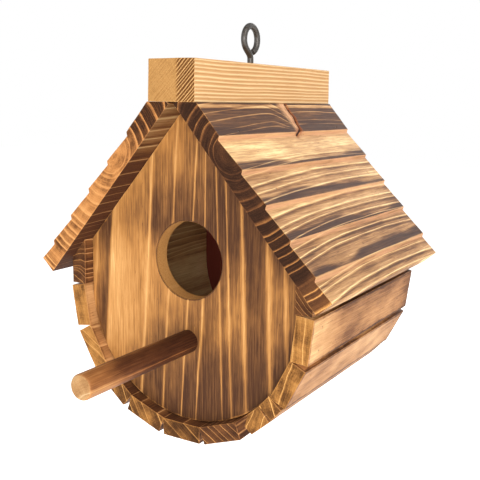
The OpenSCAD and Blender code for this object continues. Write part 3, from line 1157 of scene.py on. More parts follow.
@dataclass
class Ridge:
    """Raw pine block along the ridge, fastened with four nails."""

    line_pitch: float = 1.28

    def build(self) -> None:
        """Builds the block."""
        low, high = node_box("ridge_block")
        wide, long, tall = high - low
        eye = (-low[0], -low[1])
        tones: List[Pair] = []
        random = np.random.default_rng(4)
        edges = np.concatenate([[0.0], np.cumsum(random.uniform(0.7, 1.3, 7))]) * self.line_pitch
        for start, after in zip(edges, edges[1:]):
            tones += [(start, 0.3), (start + 0.45 * (after - start), 0.5),
                      (start + 0.6 * (after - start), 0.95), (start + 0.85 * (after - start), 0.78)]
        tones.append((edges[-1], 0.3))
        figure = Figure(tuple(tones), 0.0, edges[-1], tilt=-45.0, wander=0.3, seed=21.0)
        pine = Pine(figure, RIDGE_WOOD, RIDGE_END_WOOD, patches=0.12, inner=((-80, 0.1), (80, 0.1)),
                    end_scorch=((0, -0.1), (16, -0.1), (18, 0.6), (27, 0.8)),
                    end_lines=((0, 0.0), (16, 0.1), (17.5, 1.6), (28, 1.9)), wear=0.5, fibre=0.4, gloss=0.55)
        near = (-3.2, -2.5, -2.0, -1.6, -1.0, 0.0, 1.0, 1.6, 2.0, 2.5, 3.2)
        Timber("ridge_block", (wide, tall, long), lambda places: places[:, [0, 2, 1]] + low, pine,
               "ridge_wood", worn=0.35, step=1.8,
               extra=(spread([eye[0]], near), (), spread([eye[1]], near)),
               dents=lambda flat: self._bruise(flat, eye), seed=5).build()

    @staticmethod
    def _bruise(flat: np.ndarray, eye: Pair) -> np.ndarray:
        """Dimple where the screw was driven in."""
        off = np.hypot(flat[:, 0] - eye[0], flat[:, 2] - eye[1])
        return 0.45 * np.clip((2.6 - off) / 1.0, 0, 1)


# ---- Panels ----


@dataclass
class Panels(Section):
    """Front panel with the entrance, and the plain back panel."""

    entrance: float = 40.0
    entrance_drop: float = 79.1
    spokes: int = 336
    worn: float = 0.55
    middle_rings: int = 28
    plug: float = 1.2
    grain_lift: float = 130.0

    def outline(self, angles: np.ndarray, centre: np.ndarray) -> np.ndarray:
        """Points of the arched outline in given directions from a centre.

        Args:
            angles: Directions, counted from +X towards +Z.
            centre: Place that they start from, as x and height above the seat.

        Returns:
            One x and height for each direction.
        """
        ways = np.stack([np.cos(angles), np.sin(angles)], axis=1)
        slope = self.slope
        reach = np.full(len(angles), 1e9)
        top = self.apex_rise - slope * self.ridge_gap / 2
        with np.errstate(divide="ignore", invalid="ignore"):
            for side in (1, -1):
                wall = (side * self.radius - centre[0]) / ways[:, 0]
                reach = np.where((wall > 0) & (centre[1] + wall * ways[:, 1] > -self.drop),
                                 np.minimum(reach, wall), reach)
                rate = ways[:, 1] + slope * side * ways[:, 0]
                rake = (self.apex_rise - centre[1] - slope * side * centre[0]) / rate
                reach = np.where(rake > 0, np.minimum(reach, rake), reach)
            cap = (top - centre[1]) / ways[:, 1]
            reach = np.where(cap > 0, np.minimum(reach, cap), reach)
        off = centre - np.array([0.0, -self.drop])
        along = ways @ off
        arc = -along + np.sqrt(along ** 2 - off @ off + self.radius ** 2)
        round_z = centre[1] + arc * ways[:, 1]
        reach = np.where(round_z <= -self.drop, np.minimum(reach, arc), reach)
        return centre + reach[:, None] * ways

    def _angles(self, centre: np.ndarray) -> np.ndarray:
        """Directions of the spokes, with one at every corner of the outline."""
        eaves = self.apex_rise - self.slope * self.radius
        top = self.apex_rise - self.slope * self.ridge_gap / 2
        corners = np.array([[self.ridge_gap / 2, top], [-self.ridge_gap / 2, top], [self.radius, eaves],
                            [-self.radius, eaves], [self.radius, -self.drop], [-self.radius, -self.drop]])
        exact = np.arctan2(*(corners - centre).T[::-1])
        even = np.linspace(-math.pi, math.pi, self.spokes, endpoint=False)
        nearest = [int(np.argmin(np.abs(np.angle(np.exp(1j * (even - angle)))))) for angle in exact]
        even[nearest] = exact
        return np.sort(even)

    def panel(self, node: str, hole: float, pine: Pine, seed: int) -> None:
        """Builds one panel as rings of quads from its hole, or its middle, to its outline.

        Args:
            node: CAD node and name.
            hole: Radius of the hole, or of the small disc in the middle of a plain panel.
            pine: Finish.
            seed: Seed of the wear.
        """
        low, high = node_box(node)
        thick = high[1] - low[1]
        open_hole = hole > self.plug
        centre = np.array([0.0, -self.entrance_drop])
        angles = self._angles(centre)
        ways = np.stack([np.cos(angles), np.sin(angles)], axis=1)
        outer, inner = self.outline(angles, centre), centre + hole * ways
        length = np.linalg.norm(outer - inner, axis=1)
        near = np.array(CLOSE)[:, None]
        middle = np.linspace(0, 1, self.middle_rings + 2)[1:-1, None]
        face = np.concatenate([near + 0 * length, near[-1] + middle * (length - 2 * near[-1]),
                               length - near[::-1]])
        walls = stations(thick, 1.2)[1:-1, None] + 0 * length
        reach = np.concatenate([face, 0 * walls + length, face[::-1]] + [0 * walls] * open_hole)
        depth = np.concatenate([0 * face, walls, 0 * face + thick] + [walls[::-1]] * open_hole)
        flat = inner + ways * reach[..., None]
        sample = np.stack([flat[..., 0], depth, flat[..., 1]], axis=-1).reshape(-1, 3)
        radius = self.worn * (1 + 0.4 * ripple(sample, 15, seed) + 0.3 * ripple(sample, 5, seed + 4))
        radius = np.clip(radius, 0.15, 1.2).reshape(reach.shape)
        box = np.stack([reach, depth], axis=-1)
        size = np.stack([0 * reach + length, 0 * reach + thick], axis=-1)
        core = np.clip(box, np.stack([radius * open_hole, radius], axis=-1), size - radius[..., None])
        away = box - core
        norm = np.maximum(np.linalg.norm(away, axis=-1), 1e-9)[..., None]
        sunk = 0.07 * (1 + ripple(sample, 21, seed + 9)).reshape(reach.shape)
        bent = core + away / norm * (radius - sunk)[..., None]
        xz = inner + ways * bent[..., :1]
        points = np.stack([xz[..., 0], bent[..., 1] + low[1], xz[..., 1] + SEAT], axis=-1).reshape(-1, 3)
        grain = sample + [0, 0, SEAT + self.grain_lift]
        if open_hole:
            grain[:, 1] = thick - sample[:, 1]
        rows, count = reach.shape
        index, quads = rings(rows, count, open_hole)
        kinds = depth.ravel()[quads[:, 0]] != depth.ravel()[quads[:, 1]]
        on_wall = ((depth > 0) & (depth < thick)).ravel()
        rim = np.where(on_wall, np.minimum(depth, thick - depth).ravel(), self._from_outline(sample, outer))
        if not open_hole:
            for ring in (index[0], index[-1][::-1]):
                left, right = ring[:count // 2], ring[count // 2:][::-1]
                plug = np.stack([left[:-1], left[1:], right[1:], right[:-1]], axis=1)
                quads, kinds = np.concatenate([quads, plug]), np.pad(kinds, (0, len(plug)))
        burn = reach.ravel() if open_hole else np.full(reach.size, 99.0)
        materials = [pine.material(node, face_kind) for face_kind in (Face.LONG, Face.CUT)]
        made = make_piece(node, points, quads, kinds, materials, grain, {RIM: rim, BURN: burn})
        attach(made, HOUSE, "panel_wood", node)

    @staticmethod
    def _from_outline(sample: np.ndarray, outer: np.ndarray) -> np.ndarray:
        """Distance of each point from the outline, in the panel's plane."""
        spot = sample[:, [0, 2]]
        nearest = np.full(len(spot), 1e9)
        for start, end in zip(outer, np.roll(outer, -1, axis=0)):
            edge = end - start
            share = np.clip((spot - start) @ edge / max(edge @ edge, 1e-9), 0, 1)
            nearest = np.minimum(nearest, np.hypot(*(spot - start - share[:, None] * edge).T))
        return nearest

    FRONT_TONES = ((-64.5, 0.5), (-61.8, 0.78), (-60.2, 0.5), (-53.6, 0.36), (-52.0, 0.84),
                   (-28.6, 0.6), (-26.8, 0.88), (-25.4, 0.54),
                   (-13.3, 0.5), (-12.2, 0.84), (-11.2, 0.48), (-1.0, 0.5), (0.0, 0.86), (1.1, 0.46),
                   (8.0, 0.5), (9.2, 0.88), (10.3, 0.46), (17.7, 0.46), (18.8, 0.84), (19.8, 0.4),
                   (23.0, 0.46), (24.2, 0.82), (25.4, 0.4), (31.4, 0.46), (33.0, 0.84), (35.4, 0.26),
                   (45.2, 0.36), (47.2, 0.82), (50.0, 0.42), (55.2, 0.3), (56.6, 0.76), (58.4, 0.34))

    def build(self) -> None:
        """Builds both panels."""
        front = Pine(Figure(self.FRONT_TONES, -64.5, 129.0, tilt=0.0, lean=(0.06, -0.045), turn=10.0,
                            wander=0.5, seed=7.3),
                     PANEL_WOOD, across=((-64, 0.45), (-52, 0.4), (-45, 0.2), (-28, 0.25), (-14, 0.2),
                                         (10, 0.38), (22, 0.62), (33, 0.3), (64, 0.3)),
                     along=((-70, 0.85), (-54, 0.6), (-36, 0.25), (-15, -0.1), (8, -0.15), (22, 0.1),
                            (33, 0.55), (48, 0.4), (62, 0.05), (95, -0.05)),
                     patches=0.5, wear=1.3, fibre=0.9, gloss=0.52, burnt=True)
        back = Pine(Figure(grown(17, 64.5, 9.2), 0.0, 64.5, tilt=4.0, lean=(0.03, -0.05), turn=-8.0,
                           wander=1.4, seed=31.9),
                    PANEL_WOOD, across=((-64, 0.4), (0, 0.1), (64, 0.3)),
                    along=((-70, 0.6), (-20, 0.1), (95, 0.2)), patches=0.6,
                    # Painted shade: the inward face, seen through the entrance, is darkened for the dark
                    # inside of the house.
                    inner=((-80, 1.5), (80, 1.5)), darkening=0.97, inner_shade_colour=srgb(0x763226), wear=1.6, gloss=0.52)
        self.panel("front_panel", self.entrance / 2, front, 61)
        self.panel("back_panel", self.plug, back, 62)


# ---- Perch ----


@dataclass
class Perch:
    """Dowel below the entrance."""

    radius: float = 6.0
    around: int = 72

    def build(self) -> None:
        """Turns the dowel from its profile."""
        low, high = node_box("perch")
        length = high[1] - low[1]
        front = [(0.0, 1.4), (0.0, 2.8), (0.0, 4.0), (0.05, 4.7), (0.18, 5.2), (0.45, 5.62),
                 (0.85, 5.88), (1.3, 5.97)]
        body = [(place, self.radius) for place in np.arange(2.0, length - 1.0, 1.6)]
        along, reach = np.array(front + body + [(length, 5.9), (length, 3.0)]).T
        turn = np.linspace(0, 2 * math.pi, self.around, endpoint=False)
        grid_along, grid_reach = np.repeat(along, self.around), np.repeat(reach, self.around)
        grid_turn = np.tile(turn, len(along))
        flat = np.stack([grid_reach * np.cos(grid_turn), grid_reach * np.sin(grid_turn), grid_along], axis=1)
        dent = 0.05 * (1 + ripple(flat * [1, 1, 0.25], 9, 8)) * (grid_reach > 5)
        shrink = (grid_reach - dent) / grid_reach
        points = np.stack([flat[:, 0] * shrink, flat[:, 2], flat[:, 1] * shrink], axis=1)
        points = np.concatenate([points, [[0, 0, 0], [0, length, 0]]])
        grain = np.concatenate([flat, [[0, 0, 0], [0, 0, length]]]) + [0, 10, 0]
        index, quads = rings(len(along), self.around)
        kinds = np.repeat(along[:-1] < 0.3, self.around)
        one = np.arange(0, self.around, 2)
        fans = []
        for ring, tip in ((index[0], index.size), (np.roll(index[-1][::-1], 1), index.size + 1)):
            fans.append(np.stack([np.full(len(one), tip), ring[one], ring[one + 1],
                                  np.roll(ring[one], -1)], axis=1))
        quads = np.concatenate([quads, *fans])
        kinds = np.pad(kinds, (0, self.around), constant_values=True)
        rim = np.append(np.hypot(grid_along, np.maximum(5.6 - grid_reach, 0)), [6.0, 6.0])
        pine = Pine(Figure(grown(71, 40.0, 6.5, 0.42, 0.56), reach=40.0, growth=Growth.ROUND,
                           pith=(9.0, -4.0), wander=1.0, seed=51.0),
                    PERCH_WOOD, PERCH_END, along=((0, -0.2), (24, 0.35), (45, 0.65), (64, 1.0), (90, 1.3)),
                    patches=0.5, end_scorch=((-6, -0.15), (6, -0.15)), inner=((0, 0.0), (80, 0.0)),
                    lines=0.5, wear=0.8, fibre=0.6, gloss=0.4)
        points = points + [(low[0] + high[0]) / 2, low[1], (low[2] + high[2]) / 2]
        materials = [pine.material("perch", face) for face in (Face.LONG, Face.END)]
        made = make_piece("perch", points, quads, kinds, materials, grain, {RIM: rim})
        attach(made, HOUSE, "perch_wood", "perch")


# ---- Staves ----


@dataclass(frozen=True)
class StaveLook:
    """How one stave was cut and torched.

    Attributes:
        tilt: Angle of the ring layers in its end, in degrees.
        pitch: Mean distance between ring lines.
        scorch: Scorch of the long faces.
        end: Scorch of the end grain.
        dark: Tone straight after a ring line.
        lines: Contrast of the rings on the long faces.
        patches: Strength of uneven scorching.
        front_highlight: Painted highlight, a paleness of the outer face near the front.
        edge: Scorch along its edges.
        inner: Painted shade of the inner face in front of the panel, where the stave stands out past it,
            given as scorch.
    """

    tilt: float
    pitch: float
    scorch: float
    end: float
    dark: float = 0.4
    lines: float = 0.8
    patches: float = 0.5
    front_highlight: float = 0.0
    edge: float = 0.3
    inner: float = 0.8


@dataclass
class StaveRing(Section):
    """Straight staves nailed round the edges of the two panels."""

    thick: float = 9.3
    span: float = 20.1
    filler: float = 7.2
    lift: float = 3.2
    hairline: float = -0.24
    pins: Pair = (-6.0, 6.0)
    side_pin: float = 10.0
    wedge_mid: float = 131.5
    wedge_face: Pair = (-3.0, 4.4)
    wedge_heel: Pair = (-9.4, 4.2)
    wedge_back: Pair = (-8.6, 4.4)
    wedge_pin: float = 9.0

    LOOKS = {
        "left_stave_1": StaveLook(-42, 2.8, 0.5, 0.1, 0.3, inner=0.5),
        "left_stave_2": StaveLook(88, 7.0, 0.2, 0.15, 0.5, inner=-0.2),
        "left_stave_3": StaveLook(62, 6.0, 0.1, 0.1, 0.48, inner=0.3),
        "left_stave_4": StaveLook(120, 7.0, 0.5, 0.35),
        "left_stave_5": StaveLook(132, 6.0, 0.5, 0.3),
        "bottom_stave": StaveLook(126, 5.6, 0.4, 0.35, 0.3),
        "right_stave_6": StaveLook(141, 3.6, 0.6, 0.1, 0.3),
        "right_stave_5": StaveLook(60, 6.0, 0.2, 0.2, 0.46),
        "right_stave_4": StaveLook(30, 7.0, 0.3, 0.3, 0.42),
        # On right_stave_3 and right_stave_2 the eighth number is a painted highlight near the front.
        "right_stave_3": StaveLook(80, 7.0, 0.1, 0.2, 0.46, 0.35, 0.7, 0.3, 0.9),
        "right_stave_2": StaveLook(86, 7.5, 0.25, 0.05, 0.48, 0.25, 0.5, 0.9, 0.9),
        "right_stave_1": StaveLook(45, 3.0, 0.1, 0.1, 0.3),
    }
    TORCHED = ("left_stave_1", "right_stave_6", "right_stave_1")

    def pine(self, node: str, order: int) -> Pine:
        """Finish of one stave."""
        look = self.LOOKS[node]
        reach = 7 * look.pitch
        return Pine(Figure(grown(80 + order, reach, look.pitch, look.dark, look.dark + 0.22), reach=reach,
                           tilt=look.tilt, bow=(1.4 * (-1) ** order, 60.0, 90.0), wander=1.3,
                           seed=13.0 + 5.7 * order),
                    STAVE_WOOD, DARK_END_WOOD if node in self.TORCHED else END_WOOD,
                    across=((0, look.scorch), (70, look.scorch)),
                    # Painted highlight: the long faces are made paler near the front.
                    along=((0, -look.front_highlight), (14, -0.8 * look.front_highlight), (34, 0.1), (100, 0.1),
                           (134, 0.3)),
                    patches=look.patches, end_scorch=((0, look.end), (70, look.end)),
                    # Painted shade on the inner face where the staves stand out past the panels; between the
                    # panels the face is paler.
                    inner=((0, look.inner), (8, look.inner), (10, -0.4), (122, -0.4), (134, 0.6)),
                    lines=look.lines, wear=0.7, edge=look.edge, fibre=0.7, gloss=0.46)

    def turned(self, middle: float, places: np.ndarray) -> np.ndarray:
        """Lays a stave's places round the panels' edge.

        Args:
            middle: Direction below the horizontal, from the left side, in degrees.
            places: Offset along the face towards the right, height above the panel's edge
                and distance along the house.

        Returns:
            Row frame places.
        """
        angle = math.radians(middle)
        out = np.array([-math.cos(angle), -math.sin(angle)])
        side = np.array([math.sin(angle), -math.cos(angle)])
        reach = self.radius + places[:, 1]
        x = out[0] * reach + side[0] * places[:, 0]
        z = out[1] * reach + side[1] * places[:, 0]
        return np.stack([x, places[:, 2] + self.start, z + SEAT - self.drop], axis=1)

    def __post_init__(self) -> None:
        """Works out where the staves start and where the panels' middles lie along them."""
        self.start = node_box("bottom_stave")[0][1]
        self.pins_along = [mid - self.start for mid in PANEL_MIDS]
        self.eave = 180 + self.lift

    def _saw(self, node: str, order: int, width: float, place: Place, pits: Sequence[float],
             **more: Any) -> None:
        """Builds one stave.

        Args:
            node: CAD node and name.
            order: Its place in the row of staves, which seeds its finish.
            width: Across size of its grid.
            place: Lays grid places into the row frame.
            pits: Across places of its pins.
            more: Further fields of the timber.
        """
        low, high = node_box(node)
        Timber(node, (width, self.thick, high[1] - low[1]), place, self.pine(node, order), "stave_wood",
               pits=[(across, along) for across in pits for along in self.pins_along],
               seed=100 + order, **more).build()

    def pin_rows(self, index: int, below: float) -> Tuple[np.ndarray, np.ndarray]:
        """Pins through the staves into one panel.

        Args:
            index: 0 for the front panel, 1 for the back.
            below: Depth of the pins' ends under the surface.

        Returns:
            Places of the outer ends in the row frame, and directions outwards.
        """
        along, top = self.pins_along[index], self.eave
        staves = [(90 - k * self.span, self.pins) for k in range(5)] + [(90 + self.span, self.pins)]
        staves += [(self.wedge_mid, (0.0,)), (top - 2 * self.span - self.filler / 2, (0.0,))]
        staves += [(top - 1.5 * self.span, self.pins), (top - 0.5 * self.span, self.pins)]
        places, ways = [], []
        for middle, offsets in staves:
            for offset in offsets:
                outer = self.turned(middle, np.array([[offset, self.thick - below, along],
                                                      [offset, self.thick + 1 - below, along]]))
                places.append(outer[0])
                ways.append(outer[1] - outer[0])
        for side in (-1, 1):
            places.append(np.array([side * (self.radius + self.thick - below), along + self.start,
                                    SEAT - self.drop + self.side_pin]))
            ways.append(np.array([side, 0.0, 0.0]))
        return np.array(places), np.array(ways)

    def plain(self, node: str, order: int, middle: float, span: float) -> None:
        """Builds a stave of rectangular section."""
        width = 2 * self.radius * math.tan(math.radians(span / 2)) - self.hairline
        offsets = self.pins if width > 2 * abs(self.pins[0]) else (0.0,)
        self._saw(node, order, width, lambda places: self.turned(middle, places - [width / 2, 0, 0]),
                  [width / 2 + offset for offset in offsets], worn=0.45)

    def side(self, node: str, order: int, side: int) -> None:
        """Builds the upright stave under one eave, its top cut to the roof's underside."""
        low, high = node_box(node)
        height = high[2] - low[2]

        def place(places: np.ndarray) -> np.ndarray:
            """Lays places with across going up from the foot."""
            x = self.radius + places[:, 1]
            top = self.apex_rise - self.slope * x + SEAT
            z = low[2] + places[:, 0] / height * (top - low[2])
            return np.stack([side * x, places[:, 2] + low[1], z], axis=1)

        outer_top = self.apex_rise - self.slope * (self.radius + self.thick) + SEAT - low[2]
        pin_height = self.side_pin + SEAT - self.drop - low[2]
        self._saw(node, order, height, place, [pin_height * height / outer_top], worn=0.4)

    def wedge(self, node: str, order: int) -> None:
        """Builds the wedge whose left flank leans out under its neighbour."""
        width = self.wedge_face[1] - self.wedge_heel[0]
        heel = self.wedge_heel[1]

        def place(places: np.ndarray) -> np.ndarray:
            """Lays places between the leaning flank and the upright one."""
            up = places[:, 1]
            left = np.interp(up, [0, heel, self.thick],
                             [self.wedge_face[0], self.wedge_heel[0], self.wedge_back[0]])
            offset = left + places[:, 0] / width * (self.wedge_face[1] - left)
            return self.turned(self.wedge_mid, np.stack([offset, up, places[:, 2]], axis=1))

        self._saw(node, order, width, place, [self.wedge_pin], worn=0.4, step=1.3,
                  extra=((), (heel - 0.3, heel, heel + 0.3), ()))

    def build(self) -> None:
        """Builds every stave, from the left eave through the bottom to the right eave."""
        self.side("left_stave_1", 0, -1)
        for k in range(2, 6):
            self.plain(f"left_stave_{k}", k, 90 - (6 - k) * self.span, self.span)
        self.plain("bottom_stave", 6, 90, self.span)
        self.plain("right_stave_6", 7, 90 + self.span, self.span)
        self.wedge("right_stave_5", 8)
        self.plain("right_stave_4", 9, self.eave - 2 * self.span - self.filler / 2, self.filler)
        self.plain("right_stave_3", 10, self.eave - 1.5 * self.span, self.span)
        self.plain("right_stave_2", 11, self.eave - 0.5 * self.span, self.span)
        self.side("right_stave_1", 12, 1)


# ---- Fittings ----


class Growing(Bench):
    """Adds nodes to one Geometry Nodes group."""

    def __init__(self, name: str, inputs: Sequence[Tuple[str, str]]) -> None:
        """Makes a group that takes and gives geometry.

        Args:
            name: Name of the group.
            inputs: Name and kind of each further input.
        """
        self.tree = bpy.data.node_groups.new(name, "GeometryNodeTree")
        for label, kind in (("Geometry", "Geometry"), *inputs):
            self.tree.interface.new_socket(label, in_out="INPUT", socket_type=f"NodeSocket{kind}")
        self.tree.interface.new_socket("Geometry", in_out="OUTPUT", socket_type="NodeSocketGeometry")
        outputs = self.tree.nodes.new("NodeGroupInput").outputs
        self.given = {socket.name: Wire(self, socket) for socket in outputs if socket.name}

    def up(self, height: Wire) -> Wire:
        """Vector that points up by a height."""
        return self.node("ShaderNodeCombineXYZ", None, {2: height})

    def named(self, name: str, kind: str) -> Wire:
        """Named attribute of a kind."""
        return self.node("GeometryNodeInputNamedAttribute", {"data_type": kind}, {"Name": name})

    def finish(self, geometry: Wire) -> bpy.types.NodeTree:
        """Realizes the geometry, gives it the Material input and ends the group."""
        whole = self.node("GeometryNodeRealizeInstances", None, {0: geometry})
        self.close(self.node("GeometryNodeSetMaterial", None, {0: whole, "Material": self.given["Material"]}),
                   "NodeGroupOutput")
        return self.tree


def grow(name: str, mesh: bpy.types.Mesh, tree: bpy.types.NodeTree,
         values: Dict[str, Any]) -> bpy.types.Object:
    """Runs a node group on a mesh and keeps the result as a plain mesh.

    Args:
        name: Name of the piece.
        mesh: Points or edges that the group grows along.
        tree: Group to run.
        values: Values of its named inputs.

    Returns:
        The object, with no modifier left.
    """
    made = add_object(name, mesh)
    modifier = made.modifiers.new("growth", "NODES")
    modifier.node_group = tree
    for item in tree.interface.items_tree:
        if item.in_out == "INPUT" and item.name in values:
            modifier[item.identifier] = values[item.name]
    view = bpy.context.evaluated_depsgraph_get()
    plain_mesh = bpy.data.meshes.new_from_object(made.evaluated_get(view))
    made.modifiers.clear()
    made.data = plain_mesh
    return made


def wire_group() -> bpy.types.NodeTree:
    """Group that sweeps a round wire along edges, as thick as their "thick" attribute says."""
    group = Growing("bent_wire", (("Radius", "Float"), ("Step", "Float"), ("Material", "Material")))
    given = group.given
    path = group.node("GeometryNodeMeshToCurve", None, {"Mesh": given["Geometry"]})
    path = group.node("GeometryNodeResampleCurve", {"mode": "LENGTH"},
                      {"Curve": path, "Length": given["Step"]})
    thick = group.named("thick", "FLOAT")
    path = group.node("GeometryNodeSetCurveRadius", None, {"Curve": path, "Radius": thick})
    ring = group.node("GeometryNodeCurvePrimitiveCircle", None, {"Resolution": 24, "Radius": given["Radius"]})
    tube = group.node("GeometryNodeCurveToMesh", None,
                      {"Curve": path, "Profile Curve": ring, "Fill Caps": True, "Scale": thick})
    return group.finish(group.node("GeometryNodeSetShadeSmooth", None, {0: tube}))


def pin_group() -> bpy.types.NodeTree:
    """Group that drives a pin, with a head if it has one, in at every point's "way"."""
    group = Growing("driven_pins", (("Radius", "Float"), ("Length", "Float"), ("Head Radius", "Float"),
                                    ("Head Height", "Float"), ("Seed", "Int"), ("Material", "Material")))
    given = group.given
    length, head, half = given["Length"], given["Head Radius"], given["Head Height"] * 0.5
    shank = {"Vertices": 20, "Radius": given["Radius"], "Depth": length}
    brim = {"Vertices": 32, "Radius": head, "Depth": half}
    dome = {"Vertices": 32, "Radius Top": head * 0.82, "Radius Bottom": head, "Depth": half}
    nail = group.tree.nodes.new("GeometryNodeJoinGeometry")
    for kind, sizes, height in (("Cone", dome, half), ("Cylinder", brim, half * 0.5),
                                ("Cylinder", shank, length * -0.5)):
        piece = group.node(f"GeometryNodeMesh{kind}", None, sizes)
        piece = group.node("GeometryNodeTransform", None, {0: piece, "Translation": group.up(height)})
        group.tree.links.new(piece.socket, nail.inputs[0])
    turn = group.node("FunctionNodeAlignRotationToVector", {"axis": "Z"},
                      {"Vector": group.named("way", "FLOAT_VECTOR")})
    spin = group.node("FunctionNodeRandomValue", {"data_type": "FLOAT"},
                      {"Min": 0.0, "Max": 6.28, "Seed": given["Seed"]}, 1)
    about = group.node("FunctionNodeEulerToRotation", None, {0: group.up(spin)})
    turn = group.node("FunctionNodeRotateRotation", {"rotation_space": "LOCAL"}, {0: turn, 1: about})
    nail = Wire(group, nail.outputs[0])
    return group.finish(group.node("GeometryNodeInstanceOnPoints", None,
                                   {"Points": given["Geometry"], "Instance": nail, "Rotation": turn}))


@dataclass
class EyeScrew:
    """Eye bent from one wire, whose end stops beside the shank."""

    wire: float = 3.4
    outer: float = 17.4
    leave: float = -10.2
    join: float = 217.0
    end: float = -75.5
    tip: float = 3.0
    step: float = 0.35

    def path(self) -> Tuple[List[Tuple[float, float, float]], List[float]]:
        """Points of the wire from its tip to its end, in millimetres, and its thickness there."""
        low, _ = node_box("eye_screw")
        ring = self.outer / 2 - self.wire / 2
        heights = np.linspace(low[2], self.leave, 30)
        points = [(0.0, 0.0, height) for height in heights]
        thick = list(np.clip(0.25 + 0.75 * (heights - low[2]) / self.tip, 0.25, 1.0))
        angle = math.radians(self.join)
        join = np.array([ring * math.cos(angle), ring * math.sin(angle)])
        way = np.array([math.sin(angle), -math.cos(angle)])
        knots = np.array([[0, self.leave], [0, self.leave + 2.4], join - 2.6 * way, join])
        for t in np.linspace(0, 1, 14)[1:-1]:
            weights = np.array([(1 - t) ** 3, 3 * t * (1 - t) ** 2, 3 * t * t * (1 - t), t ** 3])
            points.append((0.0, *(weights @ knots)))
        for angle in np.radians(np.linspace(self.join, self.end, 90)):
            points.append((0.0, ring * math.cos(angle), ring * math.sin(angle)))
        thick += [1.0] * (len(points) - len(thick))
        thick[-1], thick[-2] = 0.8, 0.97
        return points, thick

    def build(self) -> None:
        """Bends the wire."""
        points, thick = self.path()
        mesh = bpy.data.meshes.new("eye_path")
        scaled = (np.array(points) * MM).tolist()
        mesh.from_pydata(scaled, [(i, i + 1) for i in range(len(points) - 1)], [])
        add_attribute(mesh, "thick", thick)
        values = {"Radius": self.wire / 2 * MM, "Step": self.step * MM,
                  "Material": GUNMETAL.material("eye_screw")}
        attach(grow("eye_screw", mesh, wire_group(), values), EYE, "eye_steel", "eye_screw")


@dataclass
class Fastenings:
    """Headless pins through the staves and the roof, and nails in the ridge block."""

    ring: StaveRing
    roof: Roof
    pin: float = 0.8
    length: float = 19.0
    below: float = 0.3
    nail: float = 1.6
    nail_length: float = 25.0
    head: float = 3.4
    head_height: float = 1.0
    nail_across: float = 7.5
    nail_along: float = 52.0

    def _drive(self, node: str, places: np.ndarray, ways: np.ndarray, sizes: Sequence[float],
               tree: bpy.types.NodeTree) -> None:
        """Drives pins in.

        Args:
            node: CAD node and name.
            places: Where the pins' outer ends are, in millimetres.
            ways: Directions out of the wood.
            sizes: Radius, length, head radius and head height, in millimetres.
            tree: The pin group.
        """
        mesh = bpy.data.meshes.new(node)
        mesh.from_pydata((places * MM).tolist(), [], [])
        add_attribute(mesh, "way", ways)
        names = ("Radius", "Length", "Head Radius", "Head Height")
        values = {name: size * MM for name, size in zip(names, sizes)}
        values.update({"Seed": 7, "Material": DULL_STEEL.material(node)})
        attach(grow(node, mesh, tree, values), HOUSE, "pin_steel", node)

    def build(self) -> None:
        """Drives every pin and nail in."""
        tree = pin_group()
        pin = (self.pin / 2, self.length, self.pin / 2 - 0.02, 0.08)
        for index, node in enumerate(("front_pins", "back_pins")):
            self._drive(node, *self.ring.pin_rows(index, self.below), pin, tree)
        self._drive("roof_pins", *self.roof.pin_rows(self.below), pin, tree)
        top = node_box("ridge_block")[1][2] - self.head_height
        corners = [(x, y, top) for x in (-self.nail_across, self.nail_across)
                   for y in (-self.nail_along, self.nail_along)]
        up = np.tile([0.0, 0.0, 1.0], (len(corners), 1))
        self._drive("ridge_nails", np.array(corners), up,
                    (self.nail / 2, self.nail_length, self.head / 2, self.head_height), tree)


# ---- Studio ----


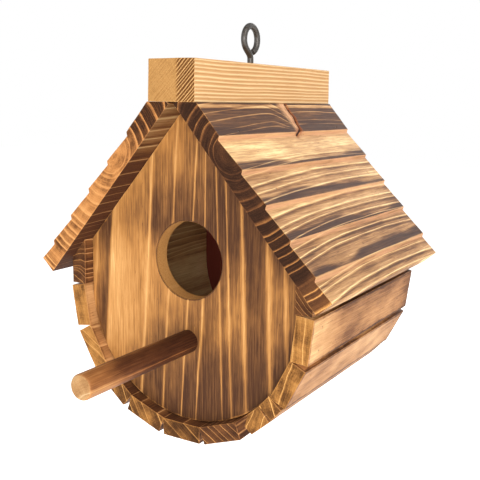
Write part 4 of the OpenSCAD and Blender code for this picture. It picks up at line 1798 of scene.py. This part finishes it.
@dataclass
class Studio:
    """Pale floor, white surroundings, soft lights and the camera."""

    lens: float = 58.29
    place: Tuple[float, float, float] = (222.27, -374.20, -33.45)
    look: Tuple[float, float, float] = (-0.51075, 0.84169, -0.17519)
    roll: float = 0.92
    floor_drop: float = 330.0
    floor_half: float = 6.0
    sensor: float = 36.0
    nearest: float = 0.01
    sky: Pair = (0.5, 1.0)

    def camera(self) -> None:
        """Adds the camera at the viewing angle."""
        data = bpy.data.cameras.new("camera")
        data.lens = self.lens
        data.sensor_width = self.sensor
        data.clip_start = self.nearest
        made = add_object("camera", data)
        turn = Vector(self.look).to_track_quat("-Z", "Y").to_matrix().to_4x4()
        turn = turn @ Matrix.Rotation(math.radians(self.roll), 4, "Z")
        made.matrix_world = Matrix.Translation(Vector(self.place) * MM) @ turn
        bpy.context.scene.camera = made

    def floor(self) -> None:
        """Adds the pale floor well below the hanging house."""
        height = CAD_BOX[0][2] - self.floor_drop * MM
        mesh = bpy.data.meshes.new("floor")
        corners = [(x * self.floor_half, y * self.floor_half, height)
                   for x, y in ((-1, -1), (1, -1), (1, 1), (-1, 1))]
        mesh.from_pydata(corners, [], [(0, 1, 2, 3)])
        material = bpy.data.materials.new("pale_floor")
        bench = Bench(material)
        place = bench.node("ShaderNodeTexCoord", out="Object")
        speck = bench.node("ShaderNodeTexNoise", None, {"Vector": place, "Scale": 40.0, "Detail": 2.0})
        bench.surface(srgb(0xFAFAF9), speck * 0.1 + 0.85, speck, 0.05,
                      {"Emission Color": (1.0, 1.0, 1.0, 1.0), "Emission Strength": 0.6})
        mesh.materials.append(material)
        add_object("floor", mesh)

    def light(self, name: str, place: Tuple[float, float, float], size: float, power: float,
              tint: Tuple[float, float, float] = (1.0, 1.0, 1.0)) -> None:
        """Adds a soft square light that looks at the house.

        Args:
            name: Name of the light.
            place: Where it stands, in metres.
            size: Side of the square, in metres.
            power: Power in watts.
            tint: Colour.
        """
        data = bpy.data.lights.new(name, "AREA")
        data.shape, data.size, data.energy, data.color = "SQUARE", size, power, tint
        aim = Vector((0, 0, -0.11)) - Vector(place)
        turn = aim.to_track_quat("-Z", "Y").to_matrix().to_4x4()
        add_object(name, data).matrix_world = Matrix.Translation(place) @ turn

    def surroundings(self) -> None:
        """Makes the world white, and brighter to the camera than as a light."""
        world = bpy.data.worlds.new("studio")
        bench = Bench(world)
        ray = bench.node("ShaderNodeLightPath", out="Is Camera Ray")
        lit, seen = (bench.node("ShaderNodeBackground", None, {"Color": (1.0,) * 4, "Strength": strength})
                     for strength in self.sky)
        bench.close(bench.node("ShaderNodeMixShader", None, {0: ray, 1: lit, 2: seen}),
                    "ShaderNodeOutputWorld")
        bpy.context.scene.world = world

    def build(self) -> None:
        """Sets the whole studio up."""
        self.camera()
        self.floor()
        self.surroundings()
        self.light("key", (1.2, -0.5, 1.1), 0.9, 14.0, (1.0, 0.97, 0.92))
        self.light("front", (0.95, -1.65, 0.2), 1.0, 28.0)
        self.light("left", (-1.5, -0.9, 0.3), 1.0, 5.0)
        self.light("back", (0.0, 1.8, 0.6), 1.2, 14.0)
        bpy.context.scene.view_settings.view_transform = "Standard"


def main() -> None:
    """Builds the birdhouse and its studio."""
    logging.basicConfig(level=logging.INFO, format="%(name)s %(message)s")
    roof, ring = Roof(), StaveRing()
    for part in (Studio(), roof, Ridge(), Panels(), Perch(), ring, Fastenings(ring, roof), EyeScrew()):
        part.build()


if __name__ == "__main__":
    main()
